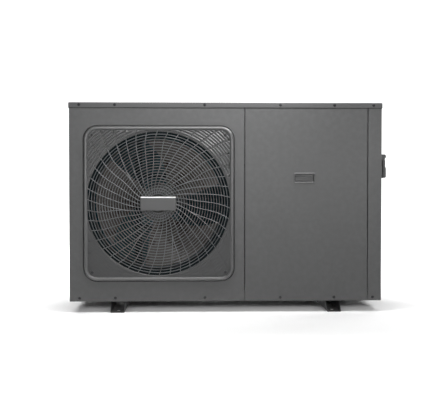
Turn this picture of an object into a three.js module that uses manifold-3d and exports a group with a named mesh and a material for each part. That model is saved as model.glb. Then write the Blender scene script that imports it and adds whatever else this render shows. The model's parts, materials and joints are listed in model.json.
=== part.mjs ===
// Side-discharge heat pump for a swimming pool: a sheet-steel cabinet on two foot rails, with the
// fan chamber on the left and the compressor chamber on the right.
// Millimetres. +X is to the right seen from the front, +Y to the rear, +Z up. The drawing frame has
// X = 0 and Y = 0 at the middle of the cabinet and Z = 0 on the ground; ORIGIN then moves the model
// so that its own origin is at the bottom centre of its whole box.
import * as THREE from 'three';
import { mergeVertices } from 'three/addons/utils/BufferGeometryUtils.js';
import Module from 'manifold-3d';

const wasm = await Module();
wasm.setup();

// ---- driving dimensions ----
const GAP = 0.4; // clearance kept between pieces that touch
const SHEET = 1.5; // sheet steel
const FOOT_HEIGHT = 36;
const COVER = { width: 1000, depth: 420, top: 669, skirt: 17, emboss: 3, embossInset: 45 };
const BODY = {
  x: COVER.width / 2 - SHEET - GAP, // half width of the panels' outer faces
  y: COVER.depth / 2 - SHEET - GAP, // half depth of the panels' outer faces
  bottom: FOOT_HEIGHT,
  top: COVER.top - SHEET - GAP,
};
const FRONT = -BODY.y;
const REAR = BODY.y;
const INNER_X = BODY.x - SHEET;
const INNER_Y = BODY.y - SHEET;
const PAN = { rim: 30, x: INNER_X - GAP, y: INNER_Y - GAP };
const PAN_FLOOR = FOOT_HEIGHT + SHEET;
const RIM_TOP = FOOT_HEIGHT + PAN.rim;
const FOLD = 15; // depth of the folded edges of the front panels
const TUCK = 0.1; // how far a fold stands in from the outer faces and ends of its panel
const SEAM_FAN = 59; // seam between the fan panel and the service panel
const SEAM_CORNER = 453.6; // seam between the service panel and the right corner return
const SEAM = 1.6;
const CORNER_SEAM = 1.6;
const RETURN = 40; // side returns of the fan panel and the rear corner post
const RAIL_SHELF = 28; // depth of the shelf under the cover between the front corners
const FOOT = {
  x: 346, width: 45, length: 424, endCut: 38, sheet: 2, lip: 8,
  slotLength: 28, slotWidth: 10, slotInset: 47,
};
const FAN = { x: -216, z: 348, tip: 204, hub: 58, wall: 3, blades: 3, boss: 14, bossEnd: -95 };
const HUB_Y = { front: -178, rear: -108 };
const BLADE = { // pairs are values at the root and at the tip; angles in degrees clockwise from up
  leading: [22, -10],
  trailing: [76, 72],
  sweep: 1.2,
  rise: [27, 38], // half of the blade's depth along the shaft
  camber: 8,
  thickness: 3,
  bury: 2, // how far the root is buried in the hub
};
const FAN_NUT = { radius: 10.5, height: 8, washer: 13, washerSheet: 2 };
const BELL = { opening: 228, flange: 242, lip: 225, throat: 211, depth: 76, sheet: 2, curve: 14, steps: 3 };
const GRILLE = {
  x: -213.7, z: 347.2, width: 476, height: 491.5, corner: 42, rim: 6, depth: 12, plate: 3, setback: 4,
  open: 224, rings: 3, spokes: 7, bar: 4, hub: 62, offset: 55.8, // the spokes pass the axis at this offset
};
const BADGE = { width: 111.5, height: 44, thickness: 3.2, corner: 2 };
const HANDLE = {
  x: 250, z: 428.5, width: 67, height: 34, corner: 3, mouthWidth: 62, mouthHeight: 24, depth: 12,
  bezel: 1.6, wall: 1.5, marginX: 2, marginZ: 3, // margins of the panel's hole round the mouth
  hook: { drop: 5, start: 2.5, sheet: 2 },
};
const COIL = {
  left: -486, rear: 197, right: 18, front: -160, thickness: 38, corner: 70, bottom: 40, top: 640,
};
const GUARD = { wire: 3, bottom: 60, top: 655, inset: 1.9, rows: 6, rearColumns: 6, leftColumns: 4 };
const PARTITION = { x: 38, topGap: 20, stubReach: 32, pipeClearance: 3 };
const MOTOR = {
  radius: 62, front: -88, rear: 0, boss: 40, bossRear: 20, shaft: 6, shaftDepth: 8,
  lug: { reach: 75, halfWidth: 12, halfHeight: 14, sheet: 4 },
};
const BRACKET = {
  depth: 18, sheet: 2, topGap: 22, rails: [-96, 80], railHeight: 16, railEnd: 66, railSheet: 3,
};
const COMPRESSOR = {
  x: 190, y: 20, radius: 58, bottom: 53.4, top: 330, bolt: 80, bolts: 3, boltHole: 6,
  foot: { arm: 95, width: 34, sheet: 3.6 },
};
const GROMMET = { bore: 5, flange: 15, waist: 12, head: 14, step: 5 };
const ACCUMULATOR = { x: 92, y: 60, radius: 30, bottom: 95, top: 300, spout: 320, spoutRadius: 8 };
const EXCHANGER = { x: 375, y: 95, radius: 70, bottom: 38, top: 470, seat: 4, seatReach: 3 };
const WATER = {
  inletZ: 150, outletZ: 370, bore: 20, neck: 28, thread: 33, collar: 40, collarWidth: 8,
  tail: 29, tailCollar: 5, socket: 24.5, socketStop: 9,
};
const NUT = { radius: 42, start: 212, end: 246, bevel: 3, ribs: 6, ribWidth: 6, ribHeight: 4 };
const STUB_END = 234;
const TAIL_END = 272;
const VALVE = { x: 150, y: 110, z: 420, length: 90, radius: 16, port: 8, portReach: 6, portPitch: 28 };
const DRIER = { x: 262, y: 130, radius: 16, bottom: 100, top: 170 };
const EXPANSION = {
  radius: 12, head: 20, bottom: 170.4, headStart: 192.4, headEnd: 219, top: 225, stem: 7,
};
const ELECTRIC = { left: 50, right: 440, front: -185, rear: -65, bottom: 475, top: 640 };
const BOARD = { inset: 30, right: 300, margin: 16, standoff: 6, sheet: 1.6, seat: 1 };
const BOARD_PARTS = [ // place in X and Z, side and height
  { x: 110, z: 600, size: 26, height: 30 },
  { x: 150, z: 600, size: 26, height: 30 },
  { x: 240, z: 590, size: 40, height: 22 },
  { x: 130, z: 520, size: 50, height: 16 },
  { x: 230, z: 520, size: 34, height: 24 },
];
const TERMINAL = {
  left: 320, right: 420, bottom: 500, top: 534, depth: 16, ways: 5, well: 14, wellDepth: 8, wall: 6,
};
const SINK = {
  front: -168, rear: -92, bottom: 502, top: 598, base: 7, finEnd: -18, fins: 8, fin: 2, window: 4,
};
const CONTROL = {
  front: -128, rear: -8, bottom: 428, top: 491, side: BODY.x + GAP, rim: 521, wall: 2.5,
  hingeX: 523, hingeZ: 499.5, barrel: 7,
};
// The ears that hold the lid's pin: how far they reach below the housing's top and behind the pin,
// and the angle below the pin where their lower edge meets their round front.
const EAR = { thickness: 6, drop: 3, back: 8, tangent: 0.81 };
const LID = {
  front: CONTROL.hingeX + 4.3, grip: CONTROL.hingeX + 7, bottomGap: 1, gripBottom: 2, gripTop: 39.5,
};
const PIN = { radius: 2, bore: 2.4, end: 1 };
const CABLE_WAY = { y: -68, z: 461.5, radius: 6.5, clearance: 1.5 }; // behind the controller
const FACE = { x: 508, sheet: 2.5 };
const DISPLAY = { y: -93, z: 461.5, width: 52, height: 38, corner: 3, sheet: 1.4 };
const BUTTON = { radius: 5.5, flange: 7.5, flangeSheet: 2, front: 513.5, bevel: 0.8 };
const BUTTON_PLACES = { // Y and Z
  power_button: [-48, 474],
  mode_button: [-26, 474],
  up_button: [-48, 449],
  down_button: [-26, 449],
};
const GLAND = {
  x: 440, z: 560, bore: 5, thread: 9.8, nut: 15, lockNut: 7, nutEnd: 8, capEnd: 18, length: 24,
};
const DRAIN = { x: -150, y: 80, hole: 9, bore: 5, low: 10, barb: 9, neck: 7.5, stem: 8, flange: 16 };
const HEADER = { x: 28.4, y: 178, radius: 8, bottom: 230, top: 600, stubZ: 560 };
const LIQUID_Z = 200;
const PIPE = 6; // outer radius of the gas lines
const LIQUID_PIPE = 5; // outer radius of the liquid lines

const FULL = Math.PI * 2;
const QUARTER = Math.PI / 2;
const FRONT_REACH = BODY.y + GAP + GRILLE.depth;
const ORIGIN = { x: (LID.grip - COVER.width / 2) / 2, y: (TAIL_END - FRONT_REACH) / 2 };

// ---- finishes ----
const finish = (color, roughness, metalness) => () => (
  new THREE.MeshStandardMaterial({ color, roughness, metalness })
);
const cabinetPaint = finish(0x55575a, 0.55, 0.2);
const blackSheet = finish(0x1c1d1f, 0.6, 0.3);
const blackCasting = finish(0x242528, 0.5, 0.4);
const darkMoulding = finish(0x232427, 0.5, 0);
const greyMoulding = finish(0x5a5c5f, 0.5, 0);
const fanMoulding = finish(0x5f6060, 0.5, 0);
const badgeMoulding = finish(0x6c6e70, 0.5, 0);
const tailMoulding = finish(0x3a3c3f, 0.5, 0);
const keyMoulding = finish(0x8a8d90, 0.5, 0);
const terminalMoulding = finish(0xd8d6cf, 0.5, 0);
const boardLaminate = finish(0x2f6b3c, 0.5, 0);
const rubber = finish(0x1a1a1a, 0.8, 0);
const lens = finish(0x10161a, 0.1, 0);
const coilFins = finish(0x1d3a44, 0.5, 0.4);
const copper = finish(0xa8603a, 0.35, 0.9);
const steel = finish(0x9a9da0, 0.35, 0.9);

// ---- geometry helpers ----
// A closed manifold solid from any closed three.js geometry: vertices are snapped to a micron, so
// that flush faces meet exactly, and welded; collapsed triangles are dropped, and the faces turned
// outwards.
function solid(geometry) {
  const bare = geometry.clone();
  bare.deleteAttribute('normal');
  bare.deleteAttribute('uv');
  const places = bare.attributes.position.array;
  for (let k = 0; k < places.length; k += 1) places[k] = Math.round(places[k] * 1000) / 1000;
  const welded = mergeVertices(bare, 1e-4);
  const source = welded.index.array;
  const triangles = [];
  for (let i = 0; i < source.length; i += 3) {
    const [a, b, c] = [source[i], source[i + 1], source[i + 2]];
    if (a !== b && b !== c && a !== c) triangles.push(a, b, c);
  }
  const vertProperties = Float32Array.from(welded.attributes.position.array);
  const triVerts = Uint32Array.from(triangles);
  if (signedVolume(vertProperties, triVerts) < 0) triVerts.reverse();
  return new wasm.Manifold(new wasm.Mesh({ numProp: 3, vertProperties, triVerts }));
}

function signedVolume(vertices, triangles) {
  const corner = (k) => new THREE.Vector3().fromArray(vertices, 3 * k);
  let volume = 0;
  for (let i = 0; i < triangles.length; i += 3) {
    const [a, b, c] = [corner(triangles[i]), corner(triangles[i + 1]), corner(triangles[i + 2])];
    volume += a.dot(b.cross(c)) / 6;
  }
  return volume;
}

function box(x0, x1, y0, y1, z0, z1) {
  const geometry = new THREE.BoxGeometry(x1 - x0, y1 - y0, z1 - z0);
  geometry.translate((x0 + x1) / 2, (y0 + y1) / 2, (z0 + z1) / 2);
  return solid(geometry);
}

// An outline drawn in X and Z, given thickness from y0 to y1.
function plateXZ(shape, y0, y1, curveSegments = 12) {
  const geometry = new THREE.ExtrudeGeometry(shape, { depth: y1 - y0, bevelEnabled: false, curveSegments });
  geometry.rotateX(QUARTER);
  geometry.translate(0, y1, 0);
  return solid(geometry);
}

// An outline drawn in Y and Z, given thickness from x0 to x1.
function plateYZ(shape, x0, x1, curveSegments = 12) {
  const geometry = new THREE.ExtrudeGeometry(shape, { depth: x1 - x0, bevelEnabled: false, curveSegments });
  geometry.rotateX(QUARTER);
  geometry.rotateZ(QUARTER);
  geometry.translate(x0, 0, 0);
  return solid(geometry);
}

// An outline drawn in X and Y, given thickness from z0 to z1.
function plateXY(shape, z0, z1, curveSegments = 12) {
  const geometry = new THREE.ExtrudeGeometry(shape, { depth: z1 - z0, bevelEnabled: false, curveSegments });
  geometry.translate(0, 0, z0);
  return solid(geometry);
}

const profile = (points) => points.map(([r, h]) => new THREE.Vector2(r, h));

// A turned solid; the profile is [radius, height] along the axis, and at is a point on the axis.
function turned(axis, points, at, segments = 24) {
  const geometry = new THREE.LatheGeometry(profile(points), segments);
  if (axis === 'z') geometry.rotateX(QUARTER);
  if (axis === 'x') geometry.rotateZ(-QUARTER);
  geometry.translate(...at);
  return solid(geometry);
}

// A straight round bar or a drill along an axis, from one height to another.
function rod(axis, radius, from, to, at, segments = 24) {
  return turned(axis, [[0, from], [radius, from], [radius, to], [0, to]], at, segments);
}

// A straight round tube along an axis.
function sleeve(axis, inner, outer, from, to, at, segments = 24) {
  const outline = [[inner, from], [outer, from], [outer, to], [inner, to], [inner, from]];
  return turned(axis, outline, at, segments);
}

// A bent pipe of round section through a list of points.
function bentPipe(points, radius = PIPE, steps = 14, sides = 6) {
  const controls = points.map((p) => new THREE.Vector3(...p));
  const path = new THREE.CatmullRomCurve3(controls, false, 'catmullrom', 0.3);
  const section = new THREE.Shape();
  for (let k = 0; k < sides; k += 1) {
    const angle = (k * FULL) / sides;
    const x = radius * Math.cos(angle);
    const y = radius * Math.sin(angle);
    if (k === 0) section.moveTo(x, y);
    else section.lineTo(x, y);
  }
  section.closePath();
  return solid(new THREE.ExtrudeGeometry(section, { steps, extrudePath: path, bevelEnabled: false }));
}

function rectangle(x0, x1, y0, y1) {
  const shape = new THREE.Shape();
  shape.moveTo(x0, y0);
  shape.lineTo(x1, y0);
  shape.lineTo(x1, y1);
  shape.lineTo(x0, y1);
  shape.closePath();
  return shape;
}

function roundedRectangle(x, y, width, height, radius) {
  const [left, right] = [x - width / 2, x + width / 2];
  const [bottom, top] = [y - height / 2, y + height / 2];
  const shape = new THREE.Shape();
  shape.moveTo(left + radius, bottom);
  shape.lineTo(right - radius, bottom);
  shape.absarc(right - radius, bottom + radius, radius, -QUARTER, 0);
  shape.lineTo(right, top - radius);
  shape.absarc(right - radius, top - radius, radius, 0, QUARTER);
  shape.lineTo(left + radius, top);
  shape.absarc(left + radius, top - radius, radius, QUARTER, 2 * QUARTER);
  shape.lineTo(left, bottom + radius);
  shape.absarc(left + radius, bottom + radius, radius, 2 * QUARTER, 3 * QUARTER);
  return shape;
}

const circle = (x, y, radius) => new THREE.Path().absarc(x, y, radius, 0, FULL);

const group = new THREE.Group();
group.position.set(-ORIGIN.x, -ORIGIN.y, 0);

function add(name, manifold, material) {
  const { vertProperties, triVerts } = manifold.getMesh();
  const geometry = new THREE.BufferGeometry();
  geometry.setAttribute('position', new THREE.BufferAttribute(Float32Array.from(vertProperties), 3));
  geometry.setIndex(new THREE.BufferAttribute(Uint32Array.from(triVerts), 1));
  geometry.computeVertexNormals();
  const mesh = new THREE.Mesh(geometry, material);
  mesh.name = name;
  group.add(mesh);
}

// ---- cabinet ----
function basePan() {
  const hollow = box(-PAN.x + SHEET, PAN.x - SHEET, -PAN.y + SHEET, PAN.y - SHEET, PAN_FLOOR, RIM_TOP + 1);
  return box(-PAN.x, PAN.x, -PAN.y, PAN.y, FOOT_HEIGHT, RIM_TOP)
    .subtract(hollow)
    .subtract(rod('z', DRAIN.hole, FOOT_HEIGHT - 1, PAN_FLOOR + 1, [DRAIN.x, DRAIN.y, 0], 16));
}

// A channel with both ends of its walls cut back, lips under the base pan and a slot at each end.
function footRail(x) {
  const half = FOOT.length / 2;
  const top = FOOT_HEIGHT - GAP;
  const side = new THREE.Shape();
  side.moveTo(-half, 0);
  side.lineTo(half, 0);
  side.lineTo(half, FOOT.sheet);
  side.lineTo(half - FOOT.endCut, top);
  side.lineTo(FOOT.endCut - half, top);
  side.lineTo(-half, FOOT.sheet);
  side.closePath();
  const inner = FOOT.width / 2 - FOOT.sheet;
  const channel = box(x - inner, x + inner, -half - 1, half + 1, FOOT.sheet, top - FOOT.sheet);
  const mouth = box(x - inner + FOOT.lip, x + inner - FOOT.lip, -half - 1, half + 1, FOOT.sheet, top + 1);
  let rail = plateYZ(side, x - FOOT.width / 2, x + FOOT.width / 2).subtract(channel).subtract(mouth);
  for (const end of [-1, 1]) {
    const y = end * (half - FOOT.slotInset);
    const slot = roundedRectangle(x, y, FOOT.slotWidth, FOOT.slotLength, FOOT.slotWidth / 2 - 0.01);
    rail = rail.subtract(plateXY(slot, -1, FOOT.sheet + 1, 4));
  }
  return rail;
}

// A shallow lid whose skirt hangs over the panels, with a raised field that sheds rain.
function topCover() {
  const [x, y] = [COVER.width / 2, COVER.depth / 2];
  const skirtBottom = COVER.top - COVER.skirt;
  const inside = box(-x + SHEET, x - SHEET, -y + SHEET, y - SHEET, skirtBottom - 1, COVER.top - SHEET);
  const raised = box(
    -x + COVER.embossInset, x - COVER.embossInset,
    -y + COVER.embossInset, y - COVER.embossInset,
    COVER.top - SHEET / 2, COVER.top + COVER.emboss,
  );
  return box(-x, x, -y, y, skirtBottom, COVER.top).subtract(inside).add(raised);
}

// A sheet edge folded back from the front plane; x is the left face of the fold.
function fold(x, depth, bottom, top) {
  return box(x, x + SHEET, FRONT + SHEET / 2, FRONT + depth, bottom, top);
}

// The front of the fan chamber, folded round the left corner, with the round fan opening.
function fanPanel() {
  const right = SEAM_FAN - SEAM / 2;
  const face = rectangle(-BODY.x, right, BODY.bottom, BODY.top);
  face.holes.push(circle(FAN.x, FAN.z, BELL.opening));
  const foldTop = COVER.top - COVER.skirt;
  return plateXZ(face, FRONT, FRONT + SHEET, 20)
    .add(fold(-BODY.x + TUCK, RETURN, BODY.bottom + TUCK, BODY.top - TUCK))
    .add(fold(right - SHEET - TUCK, FOLD, RIM_TOP + GAP, foldTop));
}

// A venturi ring that guides the air round the blade tips.
function bellMouth() {
  const { flange, lip, throat, depth, sheet, curve, steps } = BELL;
  const front = FRONT + SHEET + GAP;
  const rear = front + depth;
  const mouth = [];
  for (let k = 0; k <= steps; k += 1) {
    const angle = (QUARTER * k) / steps;
    mouth.push([lip - (lip - throat) * Math.sin(angle), front + curve * (1 - Math.cos(angle))]);
  }
  const back = mouth.map(([r, y]) => [r + sheet, y + sheet]).reverse();
  const outline = [
    [flange, front], ...mouth, [throat, rear],
    [throat + sheet, rear], ...back, [flange, front + sheet],
    [flange, front],
  ];
  return turned('y', outline, [FAN.x, 0, FAN.z], 32);
}

// Moulded guard: a rimmed square plate with a round field of rings and slanting spokes.
function frontGrille() {
  const back = FRONT - GAP;
  const face = back - GRILLE.depth;
  const plateFront = face + GRILLE.setback;
  const plateBack = plateFront + GRILLE.plate;
  const outer = roundedRectangle(GRILLE.x, GRILLE.z, GRILLE.width, GRILLE.height, GRILLE.corner);
  const rim = outer.clone();
  rim.holes.push(roundedRectangle(
    GRILLE.x, GRILLE.z,
    GRILLE.width - 2 * GRILLE.rim, GRILLE.height - 2 * GRILLE.rim,
    GRILLE.corner - GRILLE.rim,
  ));
  const plate = outer.clone();
  plate.holes.push(circle(FAN.x, FAN.z, GRILLE.open));
  let grille = plateXZ(rim, face, back, 6).add(plateXZ(plate, plateFront, plateBack, 10));
  grille = grille.add(rod('y', GRILLE.hub, plateFront, plateBack, [FAN.x, 0, FAN.z], 20));
  const pitch = (GRILLE.open - GRILLE.hub) / (GRILLE.rings + 1);
  for (let k = 1; k <= GRILLE.rings; k += 1) {
    const radius = GRILLE.hub + k * pitch;
    const ring = sleeve('y', radius, radius + GRILLE.bar, plateFront, plateBack, [FAN.x, 0, FAN.z], 24);
    grille = grille.add(ring);
  }
  const reach = Math.sqrt(GRILLE.open ** 2 - GRILLE.offset ** 2) + GRILLE.bar;
  for (let k = 0; k < GRILLE.spokes; k += 1) {
    const spoke = new THREE.BoxGeometry(GRILLE.bar, GRILLE.plate, reach);
    spoke.translate(GRILLE.offset, (plateFront + plateBack) / 2, reach / 2);
    spoke.rotateY((k * FULL) / GRILLE.spokes);
    spoke.translate(FAN.x, 0, FAN.z);
    grille = grille.add(solid(spoke));
  }
  return grille;
}

function badgePlate() {
  const back = FRONT - GAP - GRILLE.depth + GRILLE.setback - GAP;
  const shape = roundedRectangle(FAN.x, FAN.z, BADGE.width, BADGE.height, BADGE.corner);
  return plateXZ(shape, back - BADGE.thickness, back, 4);
}

// The removable front of the compressor chamber, with folded sides and the handle's cut-out.
function servicePanel() {
  const left = SEAM_FAN + SEAM / 2;
  const right = SEAM_CORNER - CORNER_SEAM / 2;
  const top = COVER.top - COVER.skirt - GAP;
  const face = rectangle(left, right, BODY.bottom, top);
  const halfWidth = HANDLE.mouthWidth / 2 + HANDLE.marginX;
  const halfHeight = HANDLE.mouthHeight / 2 + HANDLE.marginZ;
  face.holes.push(rectangle(
    HANDLE.x - halfWidth, HANDLE.x + halfWidth,
    HANDLE.z - halfHeight, HANDLE.z + halfHeight,
  ));
  return plateXZ(face, FRONT, FRONT + SHEET)
    .add(fold(left + TUCK, FOLD, RIM_TOP + GAP, top - 1))
    .add(fold(right - SHEET - TUCK, FOLD, RIM_TOP + GAP, top - 1));
}

// A flush cup with a bezel on the panel and a lip inside to hook the fingers behind.
function serviceHandle() {
  const { x, z, wall, hook } = HANDLE;
  const [halfWidth, halfHeight] = [HANDLE.mouthWidth / 2, HANDLE.mouthHeight / 2];
  const back = FRONT + HANDLE.depth;
  const bezelShape = roundedRectangle(x, z, HANDLE.width, HANDLE.height, HANDLE.corner);
  const bezel = plateXZ(bezelShape, FRONT - GAP - HANDLE.bezel, FRONT - GAP, 4);
  const cup = box(
    x - halfWidth - wall, x + halfWidth + wall,
    FRONT - GAP - 1, back,
    z - halfHeight - wall, z + halfHeight + wall,
  );
  const mouth = box(x - halfWidth, x + halfWidth, FRONT - 5, back - wall, z - halfHeight, z + halfHeight);
  const lip = box(
    x - halfWidth - 1, x + halfWidth + 1,
    FRONT + hook.start, FRONT + hook.start + hook.sheet,
    z + halfHeight - hook.drop, z + halfHeight + 1,
  );
  return bezel.add(cup).subtract(mouth).add(lip);
}

function rightPanel() {
  const left = SEAM_CORNER + CORNER_SEAM / 2;
  const foldTop = COVER.top - COVER.skirt - GAP;
  const hole = CABLE_WAY.radius + CABLE_WAY.clearance;
  const wiring = rod('x', hole, INNER_X - 1, BODY.x + 1, [0, CABLE_WAY.y, CABLE_WAY.z], 12);
  return box(left, BODY.x, FRONT, FRONT + SHEET, BODY.bottom, BODY.top)
    .add(fold(INNER_X - TUCK, REAR - FRONT, BODY.bottom + TUCK, BODY.top - TUCK))
    .add(fold(left + TUCK, FOLD, RIM_TOP + GAP, foldTop))
    .subtract(wiring);
}

function rearPanel() {
  const face = rectangle(COIL.right + 2, INNER_X - GAP, BODY.bottom, BODY.top);
  for (const z of [WATER.inletZ, WATER.outletZ]) face.holes.push(circle(EXCHANGER.x, z, WATER.thread + 1));
  face.holes.push(circle(GLAND.x, GLAND.z, GLAND.thread + GAP));
  return plateXZ(face, INNER_Y, REAR, 10);
}

function rearCornerPost() {
  const side = box(-BODY.x, -INNER_X, REAR - RETURN, REAR - TUCK, BODY.bottom, BODY.top);
  return side.add(box(
    -BODY.x + TUCK, -BODY.x + RETURN,
    INNER_Y, REAR,
    BODY.bottom + TUCK, BODY.top - TUCK,
  ));
}

// An angle between the two front corners that the cover's skirt is screwed to.
function topRail() {
  const left = SEAM_FAN - SEAM / 2 + GAP;
  const right = SEAM_CORNER + CORNER_SEAM / 2 - GAP;
  const bottom = COVER.top - COVER.skirt + GAP;
  return box(left, right, FRONT, FRONT + SHEET, bottom, BODY.top)
    .add(box(
      left + TUCK, right - TUCK,
      FRONT + SHEET / 2, FRONT + RAIL_SHELF,
      bottom + TUCK, bottom + SHEET + TUCK,
    ));
}

// A square wire grid; bar(u0, u1, z0, z1) makes one wire of the grid.
function wireGrid(bar, start, end, columns, rows) {
  let grid = null;
  const { wire, bottom, top } = GUARD;
  for (let k = 0; k <= columns; k += 1) {
    const u = start + ((end - start - wire) * k) / columns;
    const upright = bar(u, u + wire, bottom, top);
    grid = grid ? grid.add(upright) : upright;
  }
  for (let k = 0; k <= rows; k += 1) {
    const z = bottom + ((top - bottom - wire) * k) / rows;
    grid = grid.add(bar(start, end, z, z + wire));
  }
  return grid;
}

function rearGuard() {
  const outer = INNER_Y - GUARD.inset - GAP;
  const bar = (u0, u1, z0, z1) => box(u0, u1, outer - GUARD.wire, outer, z0, z1);
  return wireGrid(bar, COIL.left - 2, PARTITION.x - 3, GUARD.rearColumns, GUARD.rows);
}

function leftGuard() {
  const outer = -INNER_X + GUARD.inset + GAP;
  const bar = (u0, u1, z0, z1) => box(outer, outer + GUARD.wire, u0, u1, z0, z1);
  return wireGrid(bar, FRONT + RETURN - 4, COIL.rear, GUARD.leftColumns, GUARD.rows);
}

// The wall between the fan chamber and the compressor chamber.
function partition() {
  const rear = COIL.rear - 1;
  const front = FRONT + SHEET + GAP;
  const top = BODY.top - PARTITION.topGap;
  const [left, right] = [PARTITION.x, SEAM_FAN - SEAM / 2 - SHEET - GAP];
  const [before, past] = [left - 1, left + SHEET + 1]; // the cuts run through the sheet
  let sheet = box(left, left + SHEET, front, rear, PAN_FLOOR + GAP, top)
    .add(box(left, right, front, front + SHEET, RIM_TOP + GAP, top))
    .subtract(box(before, SEAM_FAN, -PAN.y - 1, -PAN.y + SHEET + GAP, 0, RIM_TOP + GAP))
    .subtract(box(
      before, past,
      SINK.front - SINK.window, SINK.rear + SINK.window,
      SINK.bottom - SINK.window, SINK.top + SINK.window,
    ));
  for (const z of [HEADER.stubZ, LIQUID_Z]) {
    sheet = sheet.subtract(rod('x', PIPE + PARTITION.pipeClearance, before, past, [0, HEADER.y, z], 12));
  }
  return sheet;
}

// ---- fan chamber ----
// Finned coil bent round the rear left corner.
function evaporatorCoil() {
  const { left, rear, right, front, thickness, corner } = COIL;
  const outline = new THREE.Shape();
  outline.moveTo(left, front);
  outline.lineTo(left + thickness, front);
  outline.lineTo(left + thickness, rear - corner);
  outline.absarc(left + corner, rear - corner, corner - thickness, Math.PI, QUARTER, true);
  outline.lineTo(right, rear - thickness);
  outline.lineTo(right, rear);
  outline.lineTo(left + corner, rear);
  outline.absarc(left + corner, rear - corner, corner, QUARTER, Math.PI);
  outline.closePath();
  return plateXY(outline, COIL.bottom, COIL.top, 8);
}

// Gas manifold along the end of the coil, with its branch through the partition.
function coilHeader() {
  const { x, y, radius, bottom, top, stubZ } = HEADER;
  return rod('z', radius, bottom, top, [x, y, 0], 12)
    .add(rod('x', PIPE, x, PARTITION.x + PARTITION.stubReach, [0, y, stubZ], 12));
}

const LUG_REAR = MOTOR.rear - 5;

function fanMotor() {
  const { radius, front, rear, boss, bossRear, shaft, lug } = MOTOR;
  const body = [
    [0, front - 4], [24, front - 4], [26, front], [radius - 8, front + 6], [radius, front + 16],
    [radius, rear - 6], [boss, rear], [boss, bossRear - 4], [boss - 6, bossRear], [0, bossRear],
  ];
  let motor = turned('y', body, [FAN.x, 0, FAN.z], 20);
  const reach = lug.reach + lug.halfWidth;
  motor = motor.add(box(
    FAN.x - reach, FAN.x + reach,
    LUG_REAR - lug.sheet, LUG_REAR,
    FAN.z - lug.halfHeight, FAN.z + lug.halfHeight,
  ));
  return motor.subtract(rod('y', shaft + GAP, front - 5, front + 12, [FAN.x, 0, FAN.z], 16));
}

// Two uprights on the base pan joined by rails that the motor's lugs sit on.
function motorBracket() {
  const { depth, sheet, topGap, rails, railHeight, railEnd, railSheet } = BRACKET;
  const { reach, halfWidth } = MOTOR.lug;
  const front = LUG_REAR + GAP;
  const rear = front + depth;
  const top = BODY.top - topGap;
  const inside = halfWidth - sheet;
  let bracket = null;
  for (const side of [-1, 1]) {
    const x = FAN.x + side * reach;
    const upright = box(x - halfWidth, x + halfWidth, front, rear, PAN_FLOOR + GAP, top)
      .subtract(box(x - inside, x + inside, front + sheet, rear + 1, PAN_FLOOR, top - sheet));
    bracket = bracket ? bracket.add(upright) : upright;
  }
  for (const rise of rails) {
    const z = FAN.z + rise;
    const rail = box(FAN.x - railEnd, FAN.x + railEnd, front, front + railSheet, z, z + railHeight);
    bracket = bracket.add(rail);
  }
  return bracket;
}

function fanShaft() {
  return rod('y', MOTOR.shaft, HUB_Y.front - 12, MOTOR.front + MOTOR.shaftDepth, [FAN.x, 0, FAN.z], 16);
}

// One blade: a thin box bent into a swept, pitched and cambered sheet.
// along runs from hub to tip and across from the leading edge, at the rear, to the trailing edge.
function fanBlade(turn) {
  const [radialSteps, chordSteps] = [5, 6];
  const { lerp, degToRad } = THREE.MathUtils;
  const root = FAN.hub - BLADE.bury;
  const geometry = new THREE.BoxGeometry(1, 1, 1, radialSteps, 1, chordSteps);
  const points = geometry.attributes.position;
  const middle = (HUB_Y.front + HUB_Y.rear) / 2;
  for (let k = 0; k < points.count; k += 1) {
    const along = points.getX(k) + 0.5;
    const across = points.getZ(k) + 0.5;
    const radius = root + (FAN.tip - root) * along;
    const leading = lerp(...BLADE.leading, along ** BLADE.sweep);
    const trailing = lerp(...BLADE.trailing, along);
    const angle = turn + degToRad(lerp(leading, trailing, across));
    const pitch = lerp(...BLADE.rise, along) * (1 - 2 * across);
    const camber = 4 * across * (1 - across) * BLADE.camber;
    const y = middle + pitch - camber + points.getY(k) * BLADE.thickness;
    points.setXYZ(k, FAN.x + radius * Math.sin(angle), y, FAN.z + radius * Math.cos(angle));
  }
  return solid(geometry);
}

function fanImpeller() {
  const { front, rear } = HUB_Y;
  const centre = [FAN.x, 0, FAN.z];
  let impeller = sleeve('y', FAN.hub - FAN.wall, FAN.hub, front, rear, centre, 36)
    .add(rod('y', FAN.hub, front, front + FAN.wall, centre, 36))
    .add(rod('y', FAN.boss, front, FAN.bossEnd, centre, 20));
  for (let k = 0; k < FAN.blades; k += 1) {
    impeller = impeller.add(fanBlade((k * FULL) / FAN.blades));
  }
  const hollow = rod('y', FAN.hub - FAN.wall, front + FAN.wall, rear + 1, centre, 36)
    .subtract(rod('y', FAN.boss, front, rear + 2, centre, 20));
  const shaftBore = rod('y', MOTOR.shaft + GAP, front - 1, MOTOR.front, centre, 16);
  return impeller.subtract(hollow).subtract(shaftBore);
}

function fanNut() {
  const rear = HUB_Y.front - GAP;
  const centre = [FAN.x, 0, FAN.z];
  const { radius, height, washer, washerSheet } = FAN_NUT;
  return rod('y', radius, rear - height, rear, centre, 6)
    .add(rod('y', washer, rear - washerSheet, rear, centre, 16))
    .subtract(rod('y', MOTOR.shaft + GAP, rear - height - 1, rear + 1, centre, 16));
}

// ---- compressor chamber ----
const boltAngle = (k) => QUARTER + (k * FULL) / COMPRESSOR.bolts;
const BOLT_ANGLES = Array.from({ length: COMPRESSOR.bolts }, (_, k) => boltAngle(k));

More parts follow.
